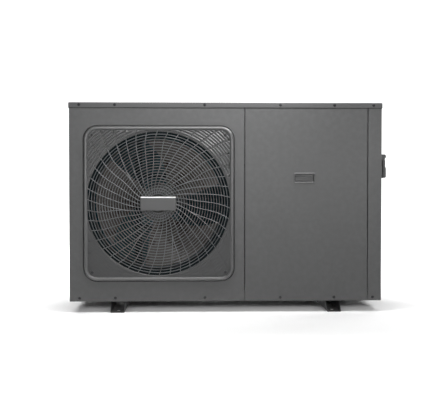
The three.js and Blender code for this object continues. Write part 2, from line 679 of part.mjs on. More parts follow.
function compressor() {
  const { x, y, radius, bottom, top, bolt, boltHole, foot } = COMPRESSOR;
  let body = turned('z', [
    [0, bottom], [radius - 10, bottom], [radius, bottom + 14], [radius, top - 26],
    [radius - 8, top - 12], [radius - 26, top - 3], [0, top],
  ], [x, y, 0], 28);
  for (const angle of BOLT_ANGLES) {
    const arm = new THREE.BoxGeometry(foot.arm, foot.width, foot.sheet);
    arm.translate(foot.arm / 2, 0, bottom + foot.sheet / 2);
    arm.rotateZ(angle);
    arm.translate(x, y, 0);
    const hole = [x + bolt * Math.cos(angle), y + bolt * Math.sin(angle), 0];
    body = body.add(solid(arm)).subtract(rod('z', boltHole, bottom - 1, bottom + foot.sheet + 1, hole, 12));
  }
  return body;
}

function compressorGrommet(angle) {
  const { x, y, bottom, bolt } = COMPRESSOR;
  const at = [x + bolt * Math.cos(angle), y + bolt * Math.sin(angle), 0];
  const top = bottom - GAP;
  const low = PAN_FLOOR + GAP;
  const { bore, flange, waist, head, step } = GROMMET;
  return turned('z', [
    [bore, low], [flange, low], [waist, low + step], [waist, top - step],
    [head, top], [bore, top], [bore, low],
  ], at, 12);
}

function accumulator() {
  const { x, y, radius, bottom, top, spout, spoutRadius } = ACCUMULATOR;
  return turned('z', [
    [0, bottom], [radius - 14, bottom], [radius, bottom + 16], [radius, top - 16],
    [radius - 14, top], [spoutRadius, top], [spoutRadius, spout], [0, spout],
  ], [x, y, 0], 20);
}

function suctionElbow() {
  const { x, y, bottom } = ACCUMULATOR;
  const reach = new THREE.Vector2(COMPRESSOR.x - x, COMPRESSOR.y - y);
  const end = reach.clone().setLength(reach.length() - COMPRESSOR.radius - 1);
  return bentPipe([
    [x, y, bottom - GAP],
    [x, y, bottom - 12],
    [x + end.x * 0.35, y + end.y * 0.35, bottom - 20],
    [x + end.x, y + end.y, bottom - 20],
  ], PIPE, 16);
}

// Reversing valve: a lying cylinder with one port above and three below.
function fourWayValve() {
  const { x, y, z, length, radius, port, portReach, portPitch } = VALVE;
  let valve = rod('x', radius, x - length / 2, x + length / 2, [0, y, z], 18)
    .add(rod('z', port, z, z + radius + portReach, [x, y, 0], 12));
  for (const offset of [-portPitch, 0, portPitch]) {
    valve = valve.add(rod('z', port, z - radius - portReach, z, [x + offset, y, 0], 12));
  }
  return valve;
}

const PORT_BELOW = VALVE.z - VALVE.radius - VALVE.portReach - GAP;
const PORT_ABOVE = VALVE.z + VALVE.radius + VALVE.portReach + GAP;

function dischargePipe() {
  const { x, y, top } = COMPRESSOR;
  return bentPipe([
    [x, y, top + GAP], [x, y, top + 110], [x - 6, y + 20, top + 140],
    [VALVE.x + 6, VALVE.y - 24, top + 140],
    [VALVE.x, VALVE.y, PORT_ABOVE + 20], [VALVE.x, VALVE.y, PORT_ABOVE],
  ]);
}

function suctionPipe() {
  const { x, y, spout } = ACCUMULATOR;
  return bentPipe([
    [VALVE.x, VALVE.y, PORT_BELOW], [VALVE.x, VALVE.y, PORT_BELOW - 18],
    [VALVE.x - 24, VALVE.y - 20, PORT_BELOW - 38],
    [x + 8, y + 8, spout + 28], [x, y, spout + 16], [x, y, spout + GAP],
  ]);
}

function coilGasPipe() {
  const x = VALVE.x - VALVE.portPitch;
  const end = PARTITION.x + PARTITION.stubReach + GAP;
  return bentPipe([
    [x, VALVE.y, PORT_BELOW], [x, VALVE.y, PORT_BELOW - 14], [x - 4, VALVE.y + 22, PORT_BELOW - 30],
    [end + 28, HEADER.y - 8, PORT_BELOW - 20], [end + 24, HEADER.y, PORT_BELOW + 30],
    [end + 24, HEADER.y, HEADER.stubZ - 28],
    [end + 14, HEADER.y, HEADER.stubZ], [end, HEADER.y, HEADER.stubZ],
  ], PIPE, 20);
}

function exchangerGasPipe() {
  const x = VALVE.x + VALVE.portPitch;
  const end = EXCHANGER.x - EXCHANGER.radius - GAP;
  return bentPipe([
    [x, VALVE.y, PORT_BELOW], [x, VALVE.y, PORT_BELOW - 16], [x + 20, VALVE.y, PORT_BELOW - 38],
    [end - 30, EXCHANGER.y, PORT_BELOW - 40], [end, EXCHANGER.y, PORT_BELOW - 40],
  ]);
}

// The drier with the pipe brazed into it that comes from the foot of the heat exchanger.
function filterDrier() {
  const { x, y, radius, bottom, top } = DRIER;
  const end = EXCHANGER.x - EXCHANGER.radius - 1;
  const pipe = bentPipe([
    [end, EXCHANGER.y, bottom - 22], [end - 14, EXCHANGER.y + 4, bottom - 22],
    [x + 6, y - 4, bottom - 20], [x, y, bottom + 6],
  ], LIQUID_PIPE, 16);
  return turned('z', [
    [0, bottom], [6, bottom], [8, bottom + 8], [radius, bottom + 16],
    [radius, top - 16], [8, top - 8], [6, top], [0, top],
  ], [x, y, 0], 16).add(pipe);
}

function expansionValve() {
  const { radius, head, bottom, headStart, headEnd, top, stem } = EXPANSION;
  return turned('z', [
    [0, bottom], [radius, bottom], [radius, headStart], [head, headStart],
    [head, headEnd], [stem, headEnd], [stem, top], [0, top],
  ], [DRIER.x, DRIER.y, 0], 18);
}

function liquidPipe() {
  const { top } = EXPANSION;
  return bentPipe([
    [DRIER.x, DRIER.y, top + GAP], [DRIER.x, DRIER.y, top + 24], [DRIER.x - 30, DRIER.y + 24, top + 38],
    [110, HEADER.y, top + 20], [80, HEADER.y, LIQUID_Z], [PARTITION.x, HEADER.y, LIQUID_Z],
    [COIL.right + GAP, HEADER.y, LIQUID_Z],
  ], LIQUID_PIPE, 18);
}

// Titanium coil in an upright plastic shell, with a flat seat for each water stub at the rear.
function heatExchanger() {
  const { x, y, radius, bottom, top, seat, seatReach } = EXCHANGER;
  let shell = turned('z', [
    [0, bottom], [radius - 6, bottom], [radius, bottom + 8], [radius, top - 30],
    [radius - 14, top - 12], [radius - 34, top], [0, top],
  ], [x, y, 0], 24);
  for (const z of [WATER.inletZ, WATER.outletZ]) {
    shell = shell.add(rod('y', WATER.thread + seat, y, y + radius + seat, [x, 0, z], 16));
  }
  const plane = y + radius + seatReach;
  return shell.subtract(box(x - radius, x + radius, plane, plane + seat, bottom, top));
}

// A threaded stub through the rear panel, with a collar inside and an open bore.
function waterStub(z) {
  const { bore, neck, thread, collar, collarWidth } = WATER;
  const start = EXCHANGER.y + EXCHANGER.radius + EXCHANGER.seatReach + GAP;
  const inner = INNER_Y - GAP;
  return turned('y', [
    [bore, start], [neck, start], [neck, inner - collarWidth], [collar, inner - collarWidth],
    [collar, inner], [thread, inner], [thread, STUB_END], [bore, STUB_END], [bore, start],
  ], [EXCHANGER.x, 0, z], 24);
}

// A glue socket whose collar the nut pulls against the stub.
function waterTailpiece(z) {
  const { bore, thread, tail, tailCollar, socket, socketStop } = WATER;
  const start = STUB_END + GAP;
  return turned('y', [
    [bore, start], [thread, start], [thread, start + tailCollar], [tail, start + tailCollar],
    [tail, TAIL_END], [socket, TAIL_END], [socket, start + socketStop], [bore, start + socketStop],
    [bore, start],
  ], [EXCHANGER.x, 0, z], 24);
}

// A ribbed union nut with an inner lip that catches the tailpiece's collar.
function unionNut(z) {
  const { radius, start, end, bevel, ribs, ribWidth, ribHeight } = NUT;
  const at = [EXCHANGER.x, 0, z];
  const lip = STUB_END + GAP + WATER.tailCollar + GAP;
  const wall = radius - ribHeight / 2; // half of each rib's height stands proud of the wall
  let nut = turned('y', [
    [WATER.thread + GAP, start], [wall, start], [wall, end - bevel], [wall - bevel, end],
    [WATER.tail + GAP, end], [WATER.tail + GAP, lip],
    [WATER.thread + GAP, lip], [WATER.thread + GAP, start],
  ], at, 24);
  for (let k = 0; k < ribs; k += 1) {
    const rib = new THREE.BoxGeometry(ribWidth, end - start - 3 * bevel, ribHeight);
    rib.translate(0, (start + end) / 2 - bevel / 2, radius - bevel);
    rib.rotateY((k * FULL) / ribs);
    rib.translate(...at);
    nut = nut.add(solid(rib));
  }
  return nut;
}

// ---- electrical ----
function electricBox() {
  const { left, right, front, rear, bottom, top } = ELECTRIC;
  const inside = box(left + SHEET, right - SHEET, front - 1, rear - SHEET, bottom + SHEET, top - SHEET);
  return box(left, right, front, rear, bottom, top).subtract(inside);
}

function controlBoard() {
  const { inset, right, margin, standoff, sheet, seat } = BOARD;
  const back = ELECTRIC.rear - SHEET - standoff;
  const [bottom, top] = [ELECTRIC.bottom + margin, ELECTRIC.top - margin];
  let board = box(ELECTRIC.left + inset, right, back - sheet, back, bottom, top);
  for (const { x, z, size, height } of BOARD_PARTS) {
    const half = size / 2;
    board = board.add(box(x - half, x + half, back - seat - height, back - seat, z - half, z + half));
  }
  return board;
}

function terminalBlock() {
  const { left, right, bottom, top, depth, ways, well, wellDepth, wall } = TERMINAL;
  const back = ELECTRIC.rear - SHEET - GAP;
  const front = back - depth;
  let block = box(left, right, front, back, bottom, top);
  for (let k = 0; k < ways; k += 1) {
    const x = left + ((right - left) * (k + 0.5)) / ways;
    block = block.subtract(box(
      x - well / 2, x + well / 2,
      front - 1, front + wellDepth,
      bottom + wall, top - wall,
    ));
  }
  return block;
}

// Finned sink of the inverter: its back is on the electric box and its fins are in the airstream.
function heatSink() {
  const { front, rear, bottom, top, base, finEnd, fins, fin } = SINK;
  const right = ELECTRIC.left - GAP;
  let sink = box(right - base, right, front, rear, bottom, top);
  const margin = fin; // the first and last fins stand in from the base's edges
  const pitch = (rear - front - 2 * margin - fin) / (fins - 1);
  for (let k = 0; k < fins; k += 1) {
    const y = front + margin + k * pitch;
    sink = sink.add(box(finEnd, right - base + 1, y, y + fin, bottom + TUCK, top - TUCK));
  }
  return sink;
}

// ---- controller on the right side ----
// An open-fronted box with two ears that carry the lid's pin.
function controllerHousing() {
  const { front, rear, bottom, top, side, rim, wall, hingeX, hingeZ, barrel } = CONTROL;
  const ear = new THREE.Shape(); // drawn in X and minus Z
  ear.moveTo(hingeX - EAR.back, -(top - EAR.drop));
  ear.lineTo(rim, -(top - EAR.drop));
  ear.absarc(hingeX, -hingeZ, barrel, EAR.tangent, -QUARTER, true);
  ear.lineTo(hingeX - EAR.back, -(hingeZ + barrel));
  ear.closePath();
  let housing = box(side, rim, front, rear, bottom, top)
    .subtract(box(side + wall, rim + 1, front + wall, rear - wall, bottom + wall, top - wall))
    .subtract(rod('x', CABLE_WAY.radius, side - 1, side + wall + 1, [0, CABLE_WAY.y, CABLE_WAY.z], 12));
  for (const y of [front, rear - EAR.thickness]) {
    const geometry = new THREE.ExtrudeGeometry(ear, {
      depth: EAR.thickness, bevelEnabled: false, curveSegments: 8,
    });
    geometry.rotateX(-QUARTER);
    geometry.translate(0, y, 0);
    housing = housing.add(solid(geometry));
  }
  return housing.subtract(rod('y', PIN.bore, front + PIN.end, rear - PIN.end, [hingeX, 0, hingeZ], 12));
}

function controllerFace() {
  const { front, rear, bottom, top, wall } = CONTROL;
  const inset = wall + GAP;
  const end = FACE.x + FACE.sheet;
  let face = box(FACE.x, end, front + inset, rear - inset, bottom + inset, top - inset);
  for (const [y, z] of Object.values(BUTTON_PLACES)) {
    face = face.subtract(rod('x', BUTTON.radius + GAP, FACE.x - 1, end + 1, [0, y, z], 12));
  }
  return face;
}

function displayWindow() {
  const { y, z, width, height, corner, sheet } = DISPLAY;
  const front = FACE.x + FACE.sheet + GAP;
  return plateYZ(roundedRectangle(y, z, width, height, corner), front, front + sheet, 4);
}

function controllerButton([y, z]) {
  const { radius, flange, flangeSheet, front, bevel } = BUTTON;
  const back = FACE.x - GAP;
  return turned('x', [
    [0, back - flangeSheet], [flange, back - flangeSheet], [flange, back], [radius, back],
    [radius, front - bevel], [radius - bevel, front], [0, front],
  ], [0, y, z], 12);
}

// A flap hung from a barrel, thicker over its lower half, which is gripped to open it.
function controllerLid() {
  const { front, rear, bottom, top, rim, hingeX, hingeZ, barrel } = CONTROL;
  const inner = rim + GAP;
  const [start, end] = [front + EAR.thickness + GAP, rear - EAR.thickness - GAP];
  const barrelRod = rod('y', barrel, start, end, [hingeX, 0, hingeZ], 20);
  const flapTop = top - EAR.drop - GAP;
  const hanger = box(inner, LID.front, start, end, flapTop - 1, hingeZ - PIN.radius);
  const flap = box(inner, LID.front, front, rear, bottom + LID.bottomGap, flapTop);
  const grip = box(
    inner + TUCK, LID.grip,
    front + TUCK, rear - TUCK,
    bottom + LID.gripBottom, bottom + LID.gripTop,
  );
  return flap.add(hanger).add(grip).add(barrelRod)
    .subtract(rod('y', PIN.bore, front, rear, [hingeX, 0, hingeZ], 12));
}

function lidPin() {
  const { front, rear, hingeX, hingeZ } = CONTROL;
  return rod('y', PIN.radius, front + PIN.end + GAP, rear - PIN.end - GAP, [hingeX, 0, hingeZ], 12);
}

// ---- small fittings ----
function cableGland() {
  const { bore, thread, nut, lockNut, nutEnd, capEnd, length } = GLAND;
  const neck = REAR + GAP;
  const inner = INNER_Y - GAP;
  const tail = inner - lockNut - 3;
  return turned('y', [
    [bore, tail], [thread, tail], [thread, inner - lockNut], [nut, inner - lockNut], [nut, inner],
    [thread, inner], [thread, neck], [nut, neck], [nut, neck + nutEnd],
    [nut - 2, neck + nutEnd + 1], [nut - 2, neck + capEnd],
    [bore + 2, neck + length], [bore, neck + length], [bore, tail],
  ], [GLAND.x, 0, GLAND.z], 12);
}

function drainNozzle() {
  const { bore, low, barb, neck, stem, flange } = DRAIN;
  const under = FOOT_HEIGHT - GAP;
  const lip = PAN_FLOOR + 3;
  return turned('z', [
    [bore, low], [neck, low], [barb, low + 6], [neck, low + 6], [barb, low + 12], [neck, low + 12],
    [stem, under - 4], [flange, under - 4], [flange, under], [stem, under], [stem, lip],
    [bore, lip], [bore, low],
  ], [DRAIN.x, DRAIN.y, 0], 12);
}

// ---- assembly ----
add('base_pan', basePan(), cabinetPaint());
add('foot_rail_left', footRail(-FOOT.x), blackSheet());
add('foot_rail_right', footRail(FOOT.x), blackSheet());
add('top_cover', topCover(), cabinetPaint());
add('fan_panel', fanPanel(), cabinetPaint());
add('bell_mouth', bellMouth(), darkMoulding());
add('front_grille', frontGrille(), greyMoulding());
add('badge_plate', badgePlate(), badgeMoulding());
add('service_panel', servicePanel(), cabinetPaint());
add('service_handle', serviceHandle(), greyMoulding());
add('right_panel', rightPanel(), cabinetPaint());
add('rear_panel', rearPanel(), cabinetPaint());
add('rear_corner_post', rearCornerPost(), cabinetPaint());
add('top_rail', topRail(), cabinetPaint());
add('rear_guard', rearGuard(), blackSheet());
add('left_guard', leftGuard(), blackSheet());
add('partition', partition(), steel());
add('evaporator_coil', evaporatorCoil(), coilFins());
add('coil_header', coilHeader(), copper());
add('fan_motor', fanMotor(), blackCasting());
add('motor_bracket', motorBracket(), blackSheet());
add('fan_shaft', fanShaft(), steel());
add('fan_impeller', fanImpeller(), fanMoulding());
add('fan_nut', fanNut(), steel());
add('compressor', compressor(), blackCasting());
BOLT_ANGLES.forEach((angle, k) => add(`compressor_grommet_${k + 1}`, compressorGrommet(angle), rubber()));
add('accumulator', accumulator(), blackCasting());
add('suction_elbow', suctionElbow(), copper());
add('four_way_valve', fourWayValve(), copper());
add('discharge_pipe', dischargePipe(), copper());
add('suction_pipe', suctionPipe(), copper());
add('coil_gas_pipe', coilGasPipe(), copper());
add('exchanger_gas_pipe', exchangerGasPipe(), copper());
add('filter_drier', filterDrier(), copper());
add('expansion_valve', expansionValve(), steel());
add('liquid_pipe', liquidPipe(), copper());
add('heat_exchanger', heatExchanger(), darkMoulding());
for (const [side, z] of [['inlet', WATER.inletZ], ['outlet', WATER.outletZ]]) {
  add(`${side}_stub`, waterStub(z), darkMoulding());
  add(`${side}_tailpiece`, waterTailpiece(z), tailMoulding());
  add(`${side}_union_nut`, unionNut(z), darkMoulding());
}
add('electric_box', electricBox(), steel());
add('control_board', controlBoard(), boardLaminate());
add('terminal_block', terminalBlock(), terminalMoulding());
add('heat_sink', heatSink(), steel());
add('controller_housing', controllerHousing(), greyMoulding());
add('controller_face', controllerFace(), tailMoulding());
add('display_window', displayWindow(), lens());
for (const [name, place] of Object.entries(BUTTON_PLACES)) {
  add(name, controllerButton(place), keyMoulding());
}
add('controller_lid', controllerLid(), greyMoulding());
add('lid_pin', lidPin(), steel());
add('cable_gland', cableGland(), darkMoulding());
add('drain_nozzle', drainNozzle(), darkMoulding());

export default group;
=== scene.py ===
"""Looks of the pool heat pump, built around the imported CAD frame. Metres, +X right, +Y rear, +Z up."""
import json
import random
from math import atan, ceil, copysign, cos, log, pi, radians, sin, sqrt, tan

import bmesh
import bpy
import numpy as np
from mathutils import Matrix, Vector

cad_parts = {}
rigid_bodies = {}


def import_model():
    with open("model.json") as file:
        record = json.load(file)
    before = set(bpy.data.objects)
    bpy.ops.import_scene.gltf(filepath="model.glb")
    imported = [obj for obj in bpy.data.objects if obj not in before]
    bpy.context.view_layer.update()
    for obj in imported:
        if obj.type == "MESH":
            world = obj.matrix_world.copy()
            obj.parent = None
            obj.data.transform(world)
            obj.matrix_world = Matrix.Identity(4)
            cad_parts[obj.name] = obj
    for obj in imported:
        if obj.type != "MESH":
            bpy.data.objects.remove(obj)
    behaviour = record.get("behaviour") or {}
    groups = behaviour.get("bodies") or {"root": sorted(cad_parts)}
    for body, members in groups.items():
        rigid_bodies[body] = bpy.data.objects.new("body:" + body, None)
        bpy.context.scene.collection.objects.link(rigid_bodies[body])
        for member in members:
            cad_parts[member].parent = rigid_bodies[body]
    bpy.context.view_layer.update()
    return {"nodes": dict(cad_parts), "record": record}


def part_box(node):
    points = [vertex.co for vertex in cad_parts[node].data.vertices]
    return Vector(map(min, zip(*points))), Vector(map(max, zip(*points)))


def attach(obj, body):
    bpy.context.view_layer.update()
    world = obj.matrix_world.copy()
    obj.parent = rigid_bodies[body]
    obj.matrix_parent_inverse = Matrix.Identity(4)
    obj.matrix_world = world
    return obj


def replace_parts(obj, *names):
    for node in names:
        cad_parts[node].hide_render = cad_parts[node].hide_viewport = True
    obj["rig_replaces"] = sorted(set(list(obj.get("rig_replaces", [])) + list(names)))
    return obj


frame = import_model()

MM = 0.001
FULL = 2 * pi
SHEET = 1.2 * MM  # thickness of the painted sheet
BEND = 1.5 * MM  # centreline radius of a bend in the sheet
BEND_STEPS = 6
RNG = random.Random(7)


# ---------------------------------------------------------------- materials
class Shader:
    """Short ways to add nodes to a material or a world, with its main node's sockets in inputs."""

    def __init__(self, owner, main="Principled BSDF"):
        owner.use_nodes = True
        self.tree = owner.node_tree
        self.inputs = self.tree.nodes[main].inputs

    def node(self, kind):
        return self.tree.nodes.new("ShaderNode" + kind)

    def link(self, output, socket):
        self.tree.links.new(output, socket)

    def noise(self, coords, scale, detail, stretch=(1, 1, 1)):
        mapping, tex = self.node("Mapping"), self.node("TexNoise")
        mapping.inputs["Scale"].default_value = stretch
        self.link(coords, mapping.inputs["Vector"])
        tex.inputs["Scale"].default_value = scale
        tex.inputs["Detail"].default_value = detail
        self.link(mapping.outputs["Vector"], tex.inputs["Vector"])
        return tex.outputs["Fac"]

    def ramp(self, value, *limits):
        """Maps a value between the first two limits to the last two."""
        node = self.node("MapRange")
        for name, number in zip(("From Min", "From Max", "To Min", "To Max"), limits):
            node.inputs[name].default_value = number
        self.link(value, node.inputs["Value"])
        return node.outputs["Result"]

    def product(self, first, second):
        node = self.node("Math")
        node.operation = "MULTIPLY"
        self.link(first, node.inputs[0])
        self.link(second, node.inputs[1])
        return node.outputs[0]

    def mixed(self, factor, first, second):
        node = self.node("Mix")
        node.data_type = "RGBA"
        self.link(factor, node.inputs[0])
        for socket, value in ((node.inputs[6], first), (node.inputs[7], second)):
            if isinstance(value, bpy.types.NodeSocket):
                self.link(value, socket)
            else:
                socket.default_value = (*value, 1)
        return node.outputs[2]


def shade(colour, factor):
    return tuple(min(1.0, c * factor) for c in colour)


def surface(name, colour, rough, metallic=0.0, mottle=0.1, mottle_scale=7.0, grain=0.05, grain_scale=900.0,
            rough_vary=0.06, wear=0.0, wear_colour=None, dust=0.0, stretch=(1, 1, 1), specular=0.5, coat=0.0):
    """A painted, moulded or metal surface: colour drift, fine speckle, worn edges, dust and fine relief."""
    mat = bpy.data.materials.new(name)
    s = Shader(mat)
    for socket, value in (("Metallic", metallic), ("Specular IOR Level", specular), ("Coat Weight", coat)):
        s.inputs[socket].default_value = value
    coords = s.node("TexCoord").outputs["Object"]
    drift = s.ramp(s.noise(coords, mottle_scale, 4, stretch), 0.3, 0.7, 0, 1)
    tint = s.mixed(drift, shade(colour, 1 - mottle), shade(colour, 1 + mottle))
    speckle = s.noise(coords, grain_scale, 2, stretch)
    tint = s.mixed(s.ramp(speckle, 0.35, 0.75, 0, 0.35), tint, shade(colour, 1.25))
    if dust:
        normal = s.node("SeparateXYZ")
        s.link(s.node("NewGeometry").outputs["Normal"], normal.inputs[0])
        settled = s.product(s.ramp(normal.outputs["Z"], 0.3, 1.0, 0, dust),
                            s.ramp(s.noise(coords, 14, 6), 0.35, 0.75, 0.3, 1))
        tint = s.mixed(settled, tint, DUST)
    if wear:
        edge = s.product(s.ramp(s.node("NewGeometry").outputs["Pointiness"], 0.52, 0.6, 0, wear),
                         s.ramp(s.noise(coords, 60, 4), 0.4, 0.65, 0, 1))
        tint = s.mixed(edge, tint, wear_colour or shade(colour, 2.2))
    s.link(tint, s.inputs["Base Color"])
    patches = s.noise(coords, mottle_scale * 3, 3, stretch)
    s.link(s.ramp(patches, 0.3, 0.7, rough - rough_vary, rough + rough_vary), s.inputs["Roughness"])
    bump = s.node("Bump")
    bump.inputs["Strength"].default_value = grain
    bump.inputs["Distance"].default_value = 0.2 * MM
    s.link(speckle, bump.inputs["Height"])
    s.link(bump.outputs["Normal"], s.inputs["Normal"])
    return mat


DUST = (0.30, 0.28, 0.25)
MATS = {}  # materials by key
MATERIAL_OF_SLOT = {}  # the first key given for each slot


def material(key, slot, name, colour, rough, **options):
    MATS[key] = surface(name, colour, rough, **options)
    MATERIAL_OF_SLOT.setdefault(slot, key)


PAINT_GREY = (0.058, 0.0583, 0.0588)
MOULD_GREY = (0.061, 0.0615, 0.062)
MOULDED = {"mottle": 0.02, "grain": 0.06, "grain_scale": 1500, "rough_vary": 0.03, "wear": 0.1}

material("cabinet", "cabinet_paint", "powder_coat", PAINT_GREY, 0.42, mottle=0.015, grain=0.08,
         grain_scale=1100, rough_vary=0.03, wear=0.12, dust=0.10)
material("black_steel", "black_sheet", "black_coat", (0.018, 0.018, 0.019), 0.5, grain=0.12, wear=0.35,
         wear_colour=(0.12, 0.12, 0.12), dust=0.15)
material("wire", "black_sheet", "guard_wire_coat", (0.02, 0.02, 0.021), 0.42, wear=0.2, dust=0.1)
material("grille", "grille_moulding", "grille_moulding", MOULD_GREY, 0.33, dust=0.06, specular=0.75, **MOULDED)
# Lower corners and all four screw bosses: the grille moulding given a darker colour, a painted shade for
# corners facing away from the light above, and less sheen
material("grille_matt_painted_shade", "grille_moulding", "grille_lower_corners", (0.049, 0.0495, 0.050), 0.50, specular=0.25,
         **MOULDED)
material("shell", "grille_moulding", "shell_moulding", MOULD_GREY, 0.38, dust=0.06, specular=0.4, **MOULDED)
# Rings and spokes: the grille's own moulding painted lighter than the frame, a painted highlight on the lit
# bars over the dark fan chamber
material("bars", "grille_moulding", "grille_bars_painted_light", (0.108, 0.112, 0.115), 0.38, mottle=0.02, grain_scale=1500,
         rough_vary=0.03, specular=0.4)
material("dark_plastic", "dark_moulding", "dark_moulding", (0.014, 0.014, 0.015), 0.45, grain=0.10,
         grain_scale=1300, wear=0.1, dust=0.1)
# Bell mouth and motor bracket: near-black teal, far darker than the dark moulding, a painted shade for the
# shadow deep in the fan chamber
material("bell", "dark_moulding", "bell_moulding_painted_shade", (0.001, 0.007, 0.009), 0.6, grain=0.08, grain_scale=1300,
         specular=0.15)
material("fan", "fan_moulding", "fan_moulding", (0.047, 0.039, 0.034), 0.30, mottle=0.05, grain_scale=1000)
material("hub", "fan_moulding", "hub_moulding", (0.052, 0.050, 0.048), 0.34, mottle=0.04, grain_scale=1000)
material("badge", "badge_face", "badge_face", (0.051, 0.0513, 0.0518), 0.36, mottle=0.015, grain=0.03,
         rough_vary=0.02)
material("strip", "badge_face", "badge_strip", (0.72, 0.72, 0.72), 0.26, mottle=0.02, grain=0.02, specular=0.7)
material("zinc", "galvanised_sheet", "galvanised", (0.42, 0.43, 0.44), 0.42, metallic=0.85, mottle=0.18,
         mottle_scale=45)
material("fins", "coil_fins", "coil_fins", (0.0003, 0.050, 0.066), 0.5, mottle=0.2, mottle_scale=18, grain=0.08,
         grain_scale=700, stretch=(1, 1, 4), specular=0.12)
material("copper", "copper_pipe", "copper_line", (0.60, 0.27, 0.15), 0.30, metallic=1.0, mottle=0.22,
         mottle_scale=25, grain=0.04)
material("rubber", "grommet_rubber", "grommet_rubber", (0.02, 0.02, 0.02), 0.75, grain=0.2, grain_scale=800)
material("pvc", "tail_moulding", "grey_pvc", (0.055, 0.058, 0.062), 0.35, mottle=0.05, grain=0.03, wear=0.1)
material("board", "board_laminate", "solder_mask", (0.02, 0.11, 0.04), 0.3, mottle=0.15, mottle_scale=60,
         grain=0.2, grain_scale=400, coat=0.4)
material("terminal", "terminal_moulding", "terminal_moulding", (0.6, 0.59, 0.55), 0.45)
material("aluminium", "sink_aluminium", "extruded_aluminium", (0.62, 0.62, 0.63), 0.33, metallic=1.0,
         grain=0.08, grain_scale=500, stretch=(1, 1, 0.05))
material("fascia", "controller_fascia", "fascia", (0.02, 0.021, 0.023), 0.22, mottle=0.03, grain=0.02, coat=0.3)
material("lens", "display_lens", "display_lens", (0.004, 0.006, 0.007), 0.06, mottle=0.02, grain=0.0,
         rough_vary=0.01, specular=0.6, coat=0.5)
material("key", "key_moulding", "key_moulding", (0.20, 0.205, 0.21), 0.45, grain=0.08)
material("screw", "black_sheet", "black_zinc_screw", (0.02, 0.02, 0.022), 0.34, metallic=0.6, mottle=0.2,
         mottle_scale=200)
# Near-black strip under the cover's skirt: a painted shadow for the gap there
material("painted_shadow_black", "grommet_rubber", "painted_shadow_strip", (0.01, 0.01, 0.01), 0.9, grain=0.4, grain_scale=600)


# ---------------------------------------------------------------- mesh helpers
def add_object(name, data):
    obj = bpy.data.objects.new(name, data)
    bpy.context.scene.collection.objects.link(obj)
    return obj


def join(*parts):
    """Several (vertices, faces) pairs as one."""
    verts, faces = [], []
    for v, f in parts:
        base = len(verts)
        verts.extend(v)
        faces.extend([tuple(i + base for i in face) for face in f])
    return verts, faces


def soften(mesh, degrees):
    """Smooth shading, with an edge kept sharp where its faces turn by more than this."""
    bm = bmesh.new()
    bm.from_mesh(mesh)
    bmesh.ops.recalc_face_normals(bm, faces=bm.faces)
    limit = radians(degrees)
    for edge in bm.edges:
        edge.smooth = len(edge.link_faces) == 2 and edge.calc_face_angle(0) < limit
    for face in bm.faces:
        face.smooth = True
    bm.to_mesh(mesh)
    bm.free()


def piece(name, geometry, material, body="cabinet", replaces=None, sharp=35, bevel=0.0):
    """One object of the visual model, riding on a body."""
    mesh = bpy.data.meshes.new(name)
    mesh.from_pydata(list(geometry[0]), [], list(geometry[1]))
    mesh.validate()
    obj = add_object(name, mesh)
    mesh.materials.append(MATS[material])
    soften(mesh, sharp)
    if bevel:
        add_bevel(obj, bevel)
    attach(obj, body)
    if replaces:
        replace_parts(obj, replaces)
    return obj


def add_bevel(obj, width, angle=40):
    mod = obj.modifiers.new("edges", "BEVEL")
    mod.width = width
    mod.segments = 2
    mod.limit_method = "ANGLE"
    mod.angle_limit = radians(angle)
    mod.harden_normals = True


def carve(obj, *cutters):
    """Cuts closed (vertices, faces) volumes out of a piece."""
    bevels = [m.width for m in obj.modifiers]
    obj.modifiers.clear()
    tools = []
    for k, (verts, faces) in enumerate(cutters):
        mesh = bpy.data.meshes.new(f"cutter_{k}")
        mesh.from_pydata(list(verts), [], list(faces))
        soften(mesh, 30)
        tool = add_object(f"cutter_{k}", mesh)
        mod = obj.modifiers.new("cut", "BOOLEAN")
        mod.operation = "DIFFERENCE"
        mod.solver = "EXACT"
        mod.object = tool
        tools.append(tool)
    graph = bpy.context.evaluated_depsgraph_get()
    cut = bpy.data.meshes.new_from_object(obj.evaluated_get(graph))
    obj.modifiers.clear()
    spent = [obj.data] + [tool.data for tool in tools]
    obj.data = cut
    for mesh in spent:
        bpy.data.meshes.remove(mesh)
    soften(cut, 35)
    for width in bevels:
        add_bevel(obj, width)


def flat(u, v, w):
    """Outline in X and Y, thickness along Z."""
    return (u, v, w)


def facing(u, v, w):
    """Outline in X and Z, thickness along Y."""
    return (u, w, v)


def sideways(u, v, w):
    """Outline in Y and Z, thickness along X."""
    return (w, u, v)


def prism(outline, low, high, place):
    count = len(outline)
    verts = [place(u, v, w) for w in (low, high) for u, v in outline]
    faces = [(k, (k + 1) % count, count + (k + 1) % count, count + k) for k in range(count)]
    faces += [tuple(range(count))[::-1], tuple(range(count, 2 * count))]
    return verts, faces


def block(x0, x1, y0, y1, z0, z1):
    return prism([(x0, y0), (x1, y0), (x1, y1), (x0, y1)], z0, z1, flat)


def rounded(cx, cz, width, height, radius, steps=8):
    """Corner arcs of a rounded rectangle, counter-clockwise from the lower right."""
    points = []
    a, b = width / 2 - radius, height / 2 - radius
    for k, (sx, sz) in enumerate(((1, -1), (1, 1), (-1, 1), (-1, -1))):
        for step in range(steps + 1):
            angle = -pi / 2 + (k + step / steps) * pi / 2
            points.append((cx + sx * a + radius * cos(angle), cz + sz * b + radius * sin(angle)))
    return points


def loft(loops, closed=False):
    """Skins a list of loops with equal numbers of points."""
    count = len(loops[0])
    verts = [p for loop in loops for p in loop]
    faces = []
    for r in range(len(loops) if closed else len(loops) - 1):
        a, b = r * count, ((r + 1) % len(loops)) * count
        for k in range(count):
            n = (k + 1) % count
            faces.append((a + k, a + n, b + n, b + k))
    return verts, faces


